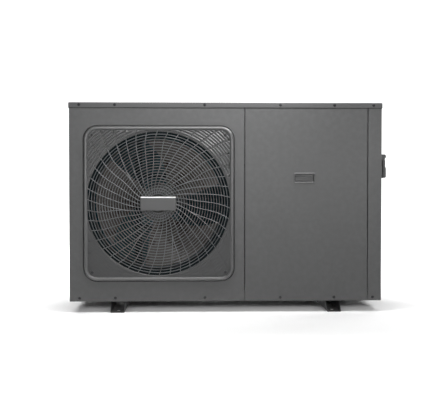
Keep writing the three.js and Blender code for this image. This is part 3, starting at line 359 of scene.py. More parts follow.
def capped(shell, count, both=True):
    """Closes the ends of a loft whose loops have this many points, or its last loop only."""
    verts, faces = shell
    caps = [tuple(range(count))] if both else []
    return verts, faces + caps + [tuple(range(len(verts) - count, len(verts)))]


def turns(count):
    return [FULL * k / count for k in range(count)]


def around(at, radius, angle, height, axis="y"):
    """A point at this radius, angle and height about an axis through at."""
    c, s = radius * cos(angle), radius * sin(angle)
    local = (c, height, s) if axis == "y" else (c, s, height)
    return tuple(at[i] + local[i] for i in range(3))


def in_mm(base, *pairs):
    """[radius, height] points from millimetres, with heights measured from base."""
    return [(radius * MM, base + height * MM) for radius, height in pairs]


def lathe(profile, at, segments=64, axis="y", closed=True):
    """Turns [radius, height] points about an axis through at."""
    shell = loft([[around(at, radius, a, height, axis) for a in turns(segments)] for radius, height in profile],
                 closed)
    return shell if closed else capped(shell, segments)


def tube(points, radius, sides):
    """A round bar along a polyline."""
    path = [Vector(p) for p in points]
    loops = []
    up = None
    for k, point in enumerate(path):
        after = path[min(k + 1, len(path) - 1)]
        before = path[max(k - 1, 0)]
        ahead = (after - before).normalized()
        if up is None:
            up = ahead.orthogonal()
        up = (up - ahead * up.dot(ahead)).normalized()
        side = ahead.cross(up)
        loops.append([tuple(point + radius * (cos(FULL * n / sides) * up + sin(FULL * n / sides) * side))
                      for n in range(sides)])
    return capped(loft(loops), sides)


def bent(points, radius=BEND):
    """Rounds the inner corners of a 2-D polyline."""
    out = [Vector(points[0])]
    for before, corner, after in zip(points, points[1:], points[2:]):
        corner = Vector(corner)
        a = (Vector(before) - corner).normalized()
        b = (Vector(after) - corner).normalized()
        half = a.angle(b) / 2
        back = radius / tan(half)
        centre = corner + (a + b).normalized() * (radius / sin(half))
        start, end = corner + a * back - centre, corner + b * back - centre
        turn = start.angle_signed(end)
        for k in range(BEND_STEPS + 1):
            angle = -turn * k / BEND_STEPS
            c, s = cos(angle), sin(angle)
            out.append(centre + Vector((start.x * c - start.y * s, start.x * s + start.y * c)))
    out.append(Vector(points[-1]))
    return out


def strip(line, thickness=SHEET):
    """Outline of a sheet of this thickness with the given centreline."""
    left, right = [], []
    for k, point in enumerate(line):
        ahead = (line[min(k + 1, len(line) - 1)] - line[max(k - 1, 0)]).normalized()
        normal = Vector((-ahead.y, ahead.x)) * thickness / 2
        left.append(tuple(point + normal))
        right.append(tuple(point - normal))
    return left + right[::-1]


def folded(points, low, high, place, radius=BEND, thickness=SHEET):
    """Sheet bent along a polyline and extruded."""
    return prism(strip(bent(points, radius), thickness), low, high, place)


def drum(radius, low, high, at, segments=48):
    return lathe([(radius, low), (radius, high)], at, segments, closed=False)


# ---------------------------------------------------------------- places taken from the frame
G0, G1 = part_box("front_grille")
P0, P1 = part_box("fan_panel")
S0, S1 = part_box("service_panel")
R0, R1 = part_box("right_panel")
T0, T1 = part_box("top_cover")
B0, B1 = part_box("rear_panel")
RIM_X, RIM_Z = (G0.x + G1.x) / 2, (G0.z + G1.z) / 2  # middle of the grille's rim
A0, A1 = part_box("fan_shaft")
FAN_X, FAN_Z = (A0.x + A1.x) / 2, (A0.z + A1.z) / 2  # fan axis, where the grille's rings are centred
FRONT = P0.y  # outer face of the front panels
REAR = B1.y
BOTTOM = P0.z


def mid(a, b):
    return (a + b) / 2


def axis_of(node):
    """Middle of a node in X and Z, for turning about an axis along Y."""
    low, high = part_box(node)
    return mid(low.x, high.x), 0, mid(low.z, high.z)


# ---------------------------------------------------------------- grille
RING_PITCH = 8.57 * MM
FIRST_RING = 14.28 * MM
RING_COUNT = 25
OPEN_RADIUS = 230.0 * MM
SPOKES_PER_PETAL = 6
PETALS = 7
SPIRAL = 0.34  # tangent of the spokes' lean from the radius
SPOKE_PHASE = radians(16.6)
MERGE_FROM, MERGE_TO = 95 * MM, 205 * MM  # radii between which six spokes of a petal close up to five
INNER_END, SHORT_END = 30 * MM, 97 * MM  # inner end of a spoke, and of the last spoke of each petal
LEAN = atan(SPIRAL)
RIM_PROFILE = (  # inset from the outer edge and height above the panel, in millimetres
    (1.2, -3.8), (0.2, -3.0), (0.0, -1.0), (0.0, 3.6), (0.3, 5.8), (1.2, 8.2), (2.6, 10.2), (4.4, 11.5),
    (6.2, 12.0), (8.0, 11.8), (9.6, 10.8), (10.8, 9.2), (11.6, 8.0), (12.4, 7.6),
)
RIM_INNER = 12.4 * MM
GRILLE_CORNER = 42 * MM
PLATE_LEVEL = 7.6 * MM  # front of the corner plates above the panel
PLATE_REACH = 335 * MM  # beyond the farthest corner of the plates
RIDGE, RIDGE_HALF = 3.0 * MM, 0.36  # height, and half-width as a share of the ring pitch
VALLEY = -1.6 * MM
FADE = 160 * MM  # height over which the ridges grow from the smooth lower corners
SMOOTH = 0.12  # share of the relief left in the lower corners
GROOVE = -3.6 * MM  # the spokes run on over the corner plates as grooves
ROWS_PER_RING = 8
COLUMNS_PER_SPOKE = 18
GROOVE_COLUMNS = 2
COLUMNS = PETALS * SPOKES_PER_PETAL * COLUMNS_PER_SPOKE
RING_SECTION = (  # across the bar and in front of the panel, in millimetres
    (-0.9, 2.4), (-1.15, 5.2), (-0.9, 7.0), (0.0, 7.6), (0.9, 7.0), (1.15, 5.2), (0.9, 2.4),
)
SPOKE_SECTION = (
    (-1.0, 2.8), (-1.15, 6.8), (-0.7, 8.2), (0.0, 8.6), (0.7, 8.2), (1.15, 6.8), (1.0, 2.8),
)


def grille_y(height):
    """Y of a point this far in front of the fan panel."""
    return FRONT - height


def rim_loop(inset, height):
    width, tall = G1.x - G0.x - 2 * inset, G1.z - G0.z - 2 * inset
    return [(x, grille_y(height), z)
            for x, z in rounded(RIM_X, RIM_Z, width, tall, GRILLE_CORNER - inset, 14)]


def polar(radius, angle, y):
    """A point about the fan axis, clockwise from up as seen from the front."""
    return FAN_X + radius * sin(angle), y, FAN_Z + radius * cos(angle)


def reach(angle, inset):
    """Distance from the fan axis to the rim along a direction, clockwise from up."""
    dx, dz = sin(angle), cos(angle)
    sx, sz = copysign(1, dx), copysign(1, dz)
    side = (G1.x - G0.x) / 2 - inset - sx * (FAN_X - RIM_X)
    height = (G1.z - G0.z) / 2 - inset - sz * (FAN_Z - RIM_Z)
    corner = GRILLE_CORNER - inset
    dx, dz = max(abs(dx), 1e-9), max(abs(dz), 1e-9)
    out = min(side / dx, height / dz)
    a, b = side - corner, height - corner
    if dx * out > a and dz * out > b:
        along = dx * a + dz * b
        out = along + sqrt(max(0.0, along ** 2 - a ** 2 - b ** 2 + corner ** 2))
    return out


def spoke_angle(index, radius):
    """Spokes lean as a log spiral; six per petal outside close up to five near the hub."""
    petal, place = divmod(index, SPOKES_PER_PETAL)
    t = min(1.0, max(0.0, (radius - MERGE_FROM) / (MERGE_TO - MERGE_FROM)))
    t = t * t * (3 - 2 * t)
    spread = (1 - t) / (SPOKES_PER_PETAL - 1) + t / SPOKES_PER_PETAL
    return (petal + place * spread) * FULL / PETALS + SPIRAL * log(radius / OPEN_RADIUS) + SPOKE_PHASE


def ridge_height(radius, height, column):
    """Round ridges that carry the ring pattern on over the closed corners, notched at each spoke."""
    phase = ((radius - FIRST_RING) / RING_PITCH + 0.5) % 1.0 - 0.5
    rise = sqrt(max(0.0, 1 - (phase / RIDGE_HALF) ** 2))
    fade = SMOOTH + (1 - SMOOTH) * min(1.0, max(0.0, height / FADE + 0.5))
    in_groove = column % COLUMNS_PER_SPOKE < GROOVE_COLUMNS
    return (GROOVE if in_groove else VALLEY + rise * (RIDGE - VALLEY)) * fade


def corner_plates(half):
    """Ridged corners from the round opening to the rim, above (1) or below (-1) the fan axis."""
    step = RING_PITCH / ROWS_PER_RING
    index, verts = {}, []

    def vertex(row, column):
        column %= COLUMNS
        radius = OPEN_RADIUS + row * step
        for _ in range(8):  # finds where the spiral meets the rim
            angle = FULL * column / COLUMNS + SPOKE_PHASE + SPIRAL * log(radius / OPEN_RADIUS)
            edge = reach(angle, RIM_INNER)
            if radius <= edge:
                break
            radius = edge
        key = (min(row, ceil((edge - OPEN_RADIUS) / step)), column)
        if key not in index:
            level = PLATE_LEVEL
            if row > 0 and radius < edge - 0.5 * MM:
                level += ridge_height(radius, radius * cos(angle), column)
            index[key] = len(verts)
            verts.append(polar(radius, angle, grille_y(level)))
        return index[key]

    faces = []
    for column in range(COLUMNS):
        if half * cos(FULL * column / COLUMNS + SPOKE_PHASE) < 0:
            continue
        for row in range(int((PLATE_REACH - OPEN_RADIUS) / step)):
            ring = ((row, column), (row + 1, column), (row + 1, column + 1), (row, column + 1))
            face = tuple(dict.fromkeys(vertex(*corner) for corner in ring))
            if len(face) > 2:
                faces.append(face)
    return verts, faces


def opening_lip():
    """Inner edge of the corner plates, turned back into the opening."""
    section = in_mm(0, (0, 7.6), (-0.8, 7.0), (-0.8, 2.0), (1.6, 2.0))
    return loft([[polar(OPEN_RADIUS + out, a, grille_y(high)) for a in turns(360)] for out, high in section])


def grille_frame():
    rim = loft([rim_loop(inset * MM, height * MM) for inset, height in RIM_PROFILE])
    frame_parts = join(rim, corner_plates(1), opening_lip())
    piece("grille_frame", frame_parts, "grille", replaces="front_grille", sharp=50)
    # the lower corners take the darker copy of the moulding: painted shade
    piece("grille_lower_corners", corner_plates(-1), "grille_matt_painted_shade", sharp=50)


def grille_rings():
    """Concentric bars."""
    parts = []
    for k in range(RING_COUNT):
        radius = FIRST_RING + k * RING_PITCH
        profile = [(radius + r * MM, -h * MM) for r, h in RING_SECTION]
        parts.append(lathe(profile, (FAN_X, FRONT, FAN_Z), 168 if radius > 0.1 else 96))
    return join(*parts)


def grille_spokes():
    """Slender bars along the spiral, a little proud of the rings."""
    parts = []
    steps = 26
    for index in range(PETALS * SPOKES_PER_PETAL):
        inner = SHORT_END if index % SPOKES_PER_PETAL == SPOKES_PER_PETAL - 1 else INNER_END
        loops = []
        for k in range(steps + 1):
            radius = inner + (OPEN_RADIUS + 0.6 * MM - inner) * k / steps
            angle = spoke_angle(index, radius)
            across = (cos(angle + LEAN), -sin(angle + LEAN))
            x, _, z = polar(radius, angle, 0)
            loops.append([(x + across[0] * w * MM, grille_y(h * MM), z + across[1] * w * MM)
                          for w, h in SPOKE_SECTION])
        parts.append(capped(loft(loops), len(SPOKE_SECTION)))
    return join(*parts)


def badge():
    b0, b1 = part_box("badge_plate")
    x, z, w, h = mid(b0.x, b1.x), mid(b0.z, b1.z), b1.x - b0.x, b1.z - b0.z
    seat = prism(rounded(x, z, w - 6 * MM, h - 6 * MM, 2 * MM), b1.y - 0.6 * MM, b1.y + 3 * MM, facing)
    body = prism(rounded(x, z, w, h, 2.0 * MM), b0.y + 0.7 * MM, b1.y, facing)
    piece("badge_plate_face", join(body, seat), "badge", replaces="badge_plate", bevel=0.6 * MM)
    edge = rounded(x, b1.z - 2.1 * MM, w - 0.6 * MM, 3.8 * MM, 1.2 * MM, 4)
    piece("badge_strip", prism(edge, b0.y, b0.y + 1.2 * MM, facing), "strip", bevel=0.5 * MM)


# ---------------------------------------------------------------- fan
BLADES = 3
HUB_RIBS = 9
FAN_HUB, FAN_TIP = 58 * MM, 204 * MM  # radii
FAN_DEPTH = 70 * MM
LEADING, TRAILING = (22, -12), (76, 72)  # edges of a blade at the hub and at the tip, degrees round the axis


def fan_blade(turn, middle):
    """A swept, pitched and cambered blade with a thin rounded edge."""
    along_steps, across_steps = 22, 26
    front, back = [], []
    for i in range(along_steps + 1):
        along = i / along_steps
        root = FAN_HUB - 2 * MM
        radius = root + (FAN_TIP - root) * along
        leading = LEADING[0] + (LEADING[1] - LEADING[0]) * along ** 1.05
        trailing = TRAILING[0] + (TRAILING[1] - TRAILING[0]) * along
        for j in range(across_steps + 1):
            across = j / across_steps
            angle = turn + radians(leading + (trailing - leading) * across)
            pitch = (27 + 11 * along) * (1 - 2 * across)
            camber = 4 * across * (1 - across) * 8
            edge = min(1.0, 6 * min(across, 1 - across, (1 - along) * 1.3 + 0.02) + 0.25)
            half = (1.9 - 0.8 * along) * edge
            front.append(polar(radius, angle, middle + (pitch - camber - half) * MM))
            back.append(polar(radius, angle, middle + (pitch - camber + half) * MM))
    row = across_steps + 1
    count = len(front)
    faces = []
    for i in range(along_steps):
        for j in range(across_steps):
            a, b, c, d = i * row + j, i * row + j + 1, (i + 1) * row + j + 1, (i + 1) * row + j
            faces += [(a, b, c, d), (count + d, count + c, count + b, count + a)]
    border = list(range(row)) + [i * row + across_steps for i in range(1, along_steps + 1)]
    border += [along_steps * row + j for j in range(across_steps - 1, -1, -1)]
    border += [i * row for i in range(along_steps - 1, 0, -1)]
    for a, b in zip(border, border[1:] + border[:1]):
        faces.append((a, count + a, count + b, b))
    return front + back, faces


def fan():
    at = (FAN_X, 0, FAN_Z)
    front = A0.y + 12 * MM
    blades = [fan_blade(a, mid(front, front + FAN_DEPTH)) for a in turns(BLADES)]
    shell = in_mm(front, (55, 70), (58, 70), (58.4, 8), (56.5, 3), (52, 0.6), (30, 0), (24, 3), (16, 3),
                  (14, -0.2), (6.4, -0.2), (6.4, 40), (14, 40), (14, 6), (52, 4), (54.6, 9))
    parts = [lathe(shell, at, 72)]
    for a in turns(HUB_RIBS):
        c, s = cos(a), sin(a)
        verts, faces = block(13 * MM, FAN_HUB - 2 * MM, front + 2.5 * MM, front + 12 * MM, -1.2 * MM, 1.2 * MM)
        parts.append(([(FAN_X + x * c - z * s, y, FAN_Z + x * s + z * c) for x, y, z in verts], faces))
    piece("fan_wheel", join(*blades), "fan", body="fan", replaces="fan_impeller", sharp=45)
    piece("fan_hub", join(*parts), "hub", body="fan", sharp=45)
    n0, n1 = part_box("fan_nut")
    seat = n1.y - 2 * MM  # between the nut and its washer
    nut = lathe(in_mm(n0.y, (6.4, 0), (9.6, 0), (10.5, 0.8)) + in_mm(seat, (10.5, 0), (6.4, 0)), at, 6)
    washer = lathe(in_mm(seat, (6.4, 0), (12.8, 0)) + in_mm(n1.y, (12.8, 0), (6.4, 0)), at, 40)
    piece("fan_nut_and_washer", join(nut, washer), "zinc", body="fan", replaces="fan_nut")


def bell():
    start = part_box("bell_mouth")[0].y
    turn = [(211 + 14 * (1 - sin(a)), 2.4 + 15 * (1 - cos(a))) for a in np.linspace(0.15, pi / 2, 9)]
    profile = in_mm(start, (233, 2.6), (226, 2.4), *turn, (211, 76), (213, 76), (213, 18), (216, 10),
                    (224, 5.2), (233, 4.6))
    # the bell mouth takes the near-black painted shade
    piece("bell_mouth_ring", lathe(profile, (FAN_X, 0, FAN_Z), 144), "bell", replaces="bell_mouth")


# ---------------------------------------------------------------- cabinet
RECESS = 4.0 * MM  # pressed seat for the grille
OPENING = 228 * MM  # radius of the fan opening in the panel
MOAT = 8.0 * MM  # depth of the groove round the seat
RECESS_GAP = 2.1 * MM  # clearance round the grille in its seat
SEAT_INNER = 4.0 * MM  # inner edge of the seat, inside the grille's outline
FLANGE = 15 * MM  # return bend of the panels
EDGE = SHEET / 2


def sheet(node, line, body="cabinet"):
    """Upright sheet, as tall as its node, bent along a line in X and Y."""
    low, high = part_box(node)
    return piece(f"{node}_sheet", folded(line, low.z, high.z, flat), "cabinet", body=body, replaces=node)


def flange_notch(x, half, bottom):
    """Keeps the foot of a panel's return bend clear of the base pan."""
    return block(x - half * MM, x + half * MM, FRONT + 1.6 * MM, FRONT + 30 * MM, 0, bottom + 30 * MM)


def recess_loop(grow, depth):
    width, tall = G1.x - G0.x + 2 * grow, G1.z - G0.z + 2 * grow
    return [(x, FRONT + depth, z) for x, z in rounded(RIM_X, RIM_Z, width, tall, GRILLE_CORNER + grow, 14)]


def fan_panel():
    left, right = P0.x + EDGE, P1.x - EDGE
    y = FRONT + EDGE
    panel = sheet("fan_panel", [(left, P1.y), (left, y), (right, y), (right, FRONT + FLANGE)])
    grow = RECESS_GAP + 0.9 * MM
    window = prism([(x, z) for x, _, z in recess_loop(grow, 0)], FRONT - 2 * MM, FRONT + 5 * MM, facing)
    carve(panel, window, flange_notch(right, 4, P0.z))
    seat = [recess_loop(out, deep) for out, deep in (
        (grow + 0.02 * MM, 0.0), (grow - 0.5 * MM, 0.15 * MM), (grow - 0.9 * MM, 0.8 * MM),
        (grow - 0.9 * MM, MOAT - 0.6 * MM), (grow - 1.5 * MM, MOAT), (-0.8 * MM, MOAT),
        (-1.6 * MM, MOAT - 0.8 * MM), (-1.6 * MM, RECESS + 0.6 * MM), (-2.2 * MM, RECESS),
        (-SEAT_INNER, RECESS))]
    flange = [[(FAN_X + OPENING * cos(a), FRONT + deep, FAN_Z + OPENING * sin(a)) for a in turns(60)]
              for deep in (RECESS, RECESS + 4 * MM)]
    piece("fan_panel_seat", join(loft(seat), seat_floor(), loft(flange)), "cabinet")


def seat_floor():
    """Flat sheet from the seat's inner edge to the fan opening."""
    return loft([[(FAN_X + radius(a) * cos(a), FRONT + RECESS, FAN_Z + radius(a) * sin(a)) for a in turns(240)]
                 for radius in (lambda a: reach(pi / 2 - a, SEAT_INNER), lambda a: OPENING)])


def service_panel():
    left, right = S0.x + EDGE, S1.x - EDGE
    y, bend = FRONT + EDGE, FRONT + FLANGE
    panel = sheet("service_panel", [(left, bend), (left, y), (right, y), (right, bend)], "service_door")
    x, _, z = axis_of("service_handle")
    hole = prism(rounded(x, z, 65 * MM, 30 * MM, 2 * MM, 4), FRONT - 2 * MM, FRONT + 4 * MM, facing)
    carve(panel, hole, flange_notch(left, 6, S0.z), flange_notch(right, 6, S0.z))


def service_handle():
    """Flush cup: two rounded rails, a shallow floor and a finger slot under the upper rail."""
    x, _, z = axis_of("service_handle")

    def cup(width, height, radius, depth, at=(x, z)):
        outline = rounded(*at, width * MM, height * MM, radius * MM, 6)
        return [(px, FRONT + depth * MM, pz) for px, pz in outline]

    loops = [cup(*row) for row in (
        (63, 29, 2, 0.6), (66.2, 33.2, 3, 0), (67, 34, 3.2, -0.5), (66.6, 33.4, 3.1, -1.3),
        (65.2, 31, 2.8, -1.9), (63.8, 27.6, 2.6, -1.9), (62.6, 25, 2.4, -1.2), (62, 24, 2.2, 0.2),
        (61.6, 23.6, 2.2, 13.4), (60.8, 22.8, 2, 14.4), (58, 20, 1.6, 14.6))]
    count = len(loops[0])
    pad_at = (x - 2.8 * MM, z - 2.4 * MM)  # leaves a finger slot under the upper rail and at the right
    pad = [cup(*row, pad_at) for row in (
        (55, 18, 1.6, 14.6), (55, 18, 1.6, 4.8), (54.4, 17.4, 1.4, 4.2), (53, 16, 1, 4))]
    piece("service_handle_cup", capped(loft(loops), count, False), "grille", body="service_door",
          replaces="service_handle", sharp=50)
    piece("service_handle_pad", capped(loft(pad), count, False), "shell", body="service_door", sharp=50)


def right_panel():
    left, right = R0.x + EDGE, R1.x - EDGE
    y, rear = FRONT + EDGE, REAR - EDGE
    line = [(left, FRONT + FLANGE), (left, y), (right, y), (right, rear), (right - 14 * MM, rear)]
    panel = sheet("right_panel", line)
    foot = block(right - 20 * MM, right - 2.2 * MM, REAR - 6 * MM, REAR + 2 * MM, 0, R0.z + 0.4 * MM)
    carve(panel, flange_notch(left, 6, R0.z), foot)


def rear_panel():
    left, right = B0.x + EDGE, B1.x - FLANGE
    y = REAR - EDGE
    panel = sheet("rear_panel", [(left, y - 14 * MM), (left, y), (right, y)])
    low, high = y - 4 * MM, y + 4 * MM
    holes = [drum(34 * MM, low, high, axis_of(node)) for node in ("inlet_stub", "outlet_stub")]
    holes.append(drum(10.2 * MM, low, high, axis_of("cable_gland"), 24))
    carve(panel, *holes, block(left - 4 * MM, left + 4 * MM, y - 30 * MM, y - 1.2 * MM, 0, B0.z + 31 * MM))


def corner_post():
    c0, c1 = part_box("rear_corner_post")
    x, y = c0.x + EDGE, REAR - EDGE
    sheet("rear_corner_post", [(x, c0.y), (x, y), (c1.x, y)])


FIELD_RISE = 3 * MM  # height of the cover's raised field
SKIRT_SCREWS = mid(T0.z, T1.z - FIELD_RISE) + 0.5 * MM


def cover_loop(inset, z, radius):
    return [(x, y, z) for x, y in rounded(mid(T0.x, T1.x), mid(T0.y, T1.y), T1.x - T0.x - 2 * inset,
                                          T1.y - T0.y - 2 * inset, radius, 5)]


def top_cover():
    """Pressed cover: hemmed skirt, rounded shoulder, gutter and a raised field that sheds rain."""
    top = T1.z - FIELD_RISE
    hem = [cover_loop(inset * MM, T0.z + up * MM, radius * MM) for inset, up, radius in (
        (1.2, 0.4, 1.2), (0.6, 0, 1.6), (0.1, 0.5, 2.0), (0, 3, 2.2))]
    field = [cover_loop(inset * MM, top + up * MM, radius * MM) for inset, up, radius in (
        (0, -3, 2.2), (0.35, -1.6, 2.4), (1.3, -0.5, 2.8), (2.8, 0, 3.2), (14, 0, 8), (16, -0.7, 9),
        (20, -0.7, 11), (22, 0, 12), (41, 0, 16), (44, 0.8, 17), (49, 2.5, 20), (53, 3, 22))]
    count = len(hem[0])
    under = [cover_loop(SHEET, T0.z + 0.4 * MM, 1.2 * MM), cover_loop(SHEET, top - SHEET, 1.2 * MM)]
    pressing = join(capped(loft(hem + field), count, False), capped(loft(under), count, False))
    piece("top_cover_pressing", pressing, "cabinet", replaces="top_cover", sharp=55)


def cover_shadow_strip():
    """Black strip round the panels just under the cover's skirt: a painted shadow for the gap under the skirt.
    """
    low, high = T0.z - 1.6 * MM, T0.z + 4 * MM
    shadow_strip_depth = 0.9 * MM
    front, rear = FRONT - shadow_strip_depth, REAR + shadow_strip_depth
    parts = [block(P0.x, R1.x, front, FRONT, low, high), block(P0.x, R1.x, REAR, rear, low, high),
             block(P0.x - shadow_strip_depth, P0.x, front, rear, low, high), block(R1.x, R1.x + shadow_strip_depth, front, rear, low, high)]
    piece("cover_shadow_strip", join(*parts), "painted_shadow_black")


def foot_rails():
    thick = 1.8 * MM
    for node in ("foot_rail_left", "foot_rail_right"):
        n0, n1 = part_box(node)
        x, half = mid(n0.x, n1.x), (n1.x - n0.x) / 2 - 0.9 * MM
        top, low, lip = n1.z - thick / 2, thick / 2, half - 9 * MM
        line = [(x - lip, top), (x - half, top), (x - half, low)]
        line += [(x + half, low), (x + half, top), (x + lip, top)]
        rail = piece(f"{node}_channel", folded(line, n0.y, n1.y, facing, 2.4 * MM, thick), "black_steel",
                     replaces=node, bevel=0.3 * MM)
        cuts = []
        for end, sign in ((n0.y, -1), (n1.y, 1)):
            beyond = end + sign * 10 * MM
            wedge = [(end, 3 * MM), (beyond, 3 * MM), (beyond, n1.z + 5 * MM),
                     (end - sign * 38 * MM, n1.z + 0.5 * MM)]
            cuts.append(prism(wedge, x - 40 * MM, x + 40 * MM, sideways))
            slot = rounded(x, end - sign * 47 * MM, 10 * MM, 28 * MM, 4.99 * MM, 6)
            cuts.append(prism(slot, -5 * MM, 5 * MM, flat))
        carve(rail, *cuts)


def dress(node, material, bevel=0.0, subdivide=0):
    """A finer surface on a CAD node that keeps its shape."""
    node.data.materials.clear()
    node.data.materials.append(MATS[material])
    weld = node.modifiers.new("weld", "WELD")
    weld.merge_threshold = 0.01 * MM
    if subdivide:
        sub = node.modifiers.new("round", "SUBSURF")
        sub.levels = sub.render_levels = subdivide
    if bevel:
        add_bevel(node, bevel, 30)


GUARD_COLUMN, GUARD_ROW = 50 * MM, 18 * MM  # spacing of the wires


def wire_guards():
    radius = 1.25 * MM
    for name, axis in (("rear_guard", 0), ("left_guard", 1)):
        n0, n1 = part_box(name)
        depth = mid(n0[1 - axis], n1[1 - axis])

        def wire(ends, lift):
            return tube([(depth + lift, u, z) if axis else (u, depth + lift, z) for u, z in ends], radius, 8)

        lo, hi = n0[axis] + 2 * MM, n1[axis] - 2 * MM
        columns = round((hi - lo) / GUARD_COLUMN)
        rows = round((n1.z - n0.z) / GUARD_ROW)
        parts = []
        for k in range(columns + 1):
            u = lo + (hi - lo) * k / columns
            parts.append(wire([(u, n0.z), (u, n1.z)], 0.3 * MM))
        for k in range(rows + 1):
            z = n0.z + 2 * MM + (n1.z - n0.z - 4 * MM) * k / rows
            parts.append(wire([(lo - 1 * MM, z), (hi + 1 * MM, z)], -0.3 * MM))
        piece(f"{name}_mesh", join(*parts), "wire", replaces=name)


# ---------------------------------------------------------------- coil and chamber
COIL_DEPTH = 38 * MM
COIL_CORNER = 70 * MM  # outer radius of the coil's bend
FIN_PITCH = 2.6 * MM
FIN_FOLDS = 4
FIN_WAVE = 1.5 * MM
FIN_SHEET = 0.2 * MM


def coil():
    """Thin upright fins across an L-shaped path, tubes through them, and end plates."""
    c0, c1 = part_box("evaporator_coil")
    x_left, y_rear = c0.x + COIL_DEPTH / 2, c1.y - COIL_DEPTH / 2
    radius = COIL_CORNER - COIL_DEPTH / 2
    corner = Vector((x_left + radius, y_rear - radius))
    rear, arc, left = c1.x - corner.x, radius * pi / 2, corner.y - c0.y
    total = rear + arc + left

    def place(s):
        """Point on the path and the outward direction there."""
        if s < rear:
            return Vector((c1.x - s, y_rear)), Vector((0, 1))
        if s < rear + arc:
            angle = pi / 2 + (s - rear) / radius
            out = Vector((cos(angle), sin(angle)))
            return corner + out * radius, out
        return Vector((x_left, corner.y - (s - rear - arc))), Vector((-1, 0))

    fins = []
    for k in range(1, int(total / FIN_PITCH)):
        point, out = place(k * FIN_PITCH)
        along = Vector((out.y, -out.x))
        wobble = RNG.uniform(-0.2, 0.2) * MM
        front, back = [], []
        for step in range(FIN_FOLDS + 1):
            across = (step / FIN_FOLDS - 0.5) * (COIL_DEPTH - 0.6 * MM)
            at = point + out * across + along * ((FIN_WAVE if step % 2 else -FIN_WAVE) + wobble)
            front.append(tuple(at + along * FIN_SHEET / 2))
            back.append(tuple(at - along * FIN_SHEET / 2))
        fins.append(prism(front + back[::-1], c0.z + 1 * MM, c1.z - 1 * MM, flat))
    piece("coil_fins", join(*fins), "fins", replaces="evaporator_coil")
    plates = []
    for s in (0.6 * MM, total - 0.6 * MM):
        point, out = place(s)
        along, half = Vector((out.y, -out.x)) * 0.6 * MM, out * COIL_DEPTH / 2
        corners = [point + half + along, point + half - along, point - half - along, point - half + along]
        plates.append(prism([tuple(c) for c in corners], c0.z, c1.z, flat))
    piece("coil_end_plates", join(*plates), "zinc", bevel=0.2 * MM)
    tubes = []
    route = [place(s) for s in np.linspace(2 * MM, total - 2 * MM, 46)]
    for row in range(24):
        for side, up in ((-0.25, 12.5), (0.25, 24.5)):
            z = c0.z + (up + 25 * row) * MM
            if z < c1.z - 8 * MM:
                tubes.append(tube([(*(p + out * COIL_DEPTH * side), z) for p, out in route], 3.6 * MM, 6))
    piece("coil_tubes", join(*tubes), "fins")


# ---------------------------------------------------------------- water unions, gland and drain
def threaded(bore, radius, start, end, at, pitch, depth, segments):
    """An outer thread: the loops step along a helix, fading out at both ends."""
    steps = int((end - start) / pitch * 8)
    loops = []
    for k in range(steps + 1):
        base = start + (end - start) * k / steps
        fade = min(1.0, min(k, steps - k) / 5)
        loop = []
        for n in range(segments):
            phase = ((base - start) / pitch + n / segments) % 1.0
            r = radius - depth * fade * abs(2 * phase - 1) ** 1.5
            loop.append(around(at, r, FULL * n / segments, base))
        loops.append(loop)
    inner = [[around(at, bore, a, height) for a in turns(segments)] for height in (end, start)]
    return loft(loops + inner, closed=True)


def knurled(bore, profile, at, count, cut, segments=6):
    """A turned body whose outside is shaped by flutes; the profile is [radius, height, share of the flutes]."""
    angles = turns(count * segments)
    loops = [[around(at, radius - cut * share * (0.5 - 0.5 * cos(a * count)) ** 2, a, height) for a in angles]
             for radius, height, share in profile]
    inner = [[around(at, radius, a, height) for a in angles] for radius, height in bore]
    return loft(loops + inner, closed=True)


def fluted_mm(base, *rows):
    """Rows for knurled() from millimetres, with heights measured from base."""
    return [(radius * MM, base + height * MM, share) for radius, height, share in rows]


def water_unions():
    panel = REAR - 1.9 * MM
    for side in ("inlet", "outlet"):
        s0, s1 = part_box(f"{side}_stub")
        n0, n1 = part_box(f"{side}_union_nut")
        t0, t1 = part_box(f"{side}_tailpiece")
        at = axis_of(f"{side}_tailpiece")
        neck = in_mm(s0.y, (20, 0), (27.4, 0))
        neck += in_mm(panel, (27.4, -8), (30, -7.4), (39.6, -7.4), (40, -6.8), (40, -0.4), (32.6, -0.4),
                      (32.6, 3), (20, 3))
        thread = threaded(20 * MM, 33 * MM, panel + 3 * MM, s1.y, at, 3.2 * MM, 1.5 * MM, 72)
        piece(f"{side}_stub_thread", join(lathe(neck, at), thread), "dark_plastic", replaces=f"{side}_stub",
              sharp=40)
        outside = fluted_mm(n0.y, (39.2, 0, 0), (39.8, 0.8, 0.2), (42.3, 2.2, 1))
        outside += fluted_mm(n1.y, (42.3, -9, 1), (41.4, -6.5, 0.7), (40, -5, 0.1), (38.8, -2.6, 0),
                             (36.6, -0.7, 0), (34.6, 0, 0))
        lip = t0.y + 5.5 * MM
        bore = in_mm(n1.y, (29.6, 0), (29.4, -0.4)) + in_mm(lip, (29.4, 0), (33.4, 0)) + in_mm(n0.y, (33.4, 0))
        piece(f"{side}_nut_body", knurled(bore, outside, at, 22, 2.2 * MM), "dark_plastic", body=f"{side}_nut",
              replaces=f"{side}_union_nut", sharp=50)
        tail = in_mm(t0.y, (20, 0), (33, 0), (33, 4.6), (32.4, 5), (29, 5))
        tail += in_mm(t1.y, (28.8, -4), (29, -3.4), (29, -0.8), (28.4, 0), (25.6, 0), (24.6, -1))
        tail += in_mm(t0.y, (24.4, 9), (20, 9))
        piece(f"{side}_tail_socket", lathe(tail, at, 72), "pvc", replaces=f"{side}_tailpiece", sharp=40)
        seal = in_mm(s1.y, (20.5, 0), (26, 0)) + in_mm(t0.y, (26, 0), (20.5, 0))
        piece(f"{side}_seal", lathe(seal, at, 48), "rubber")


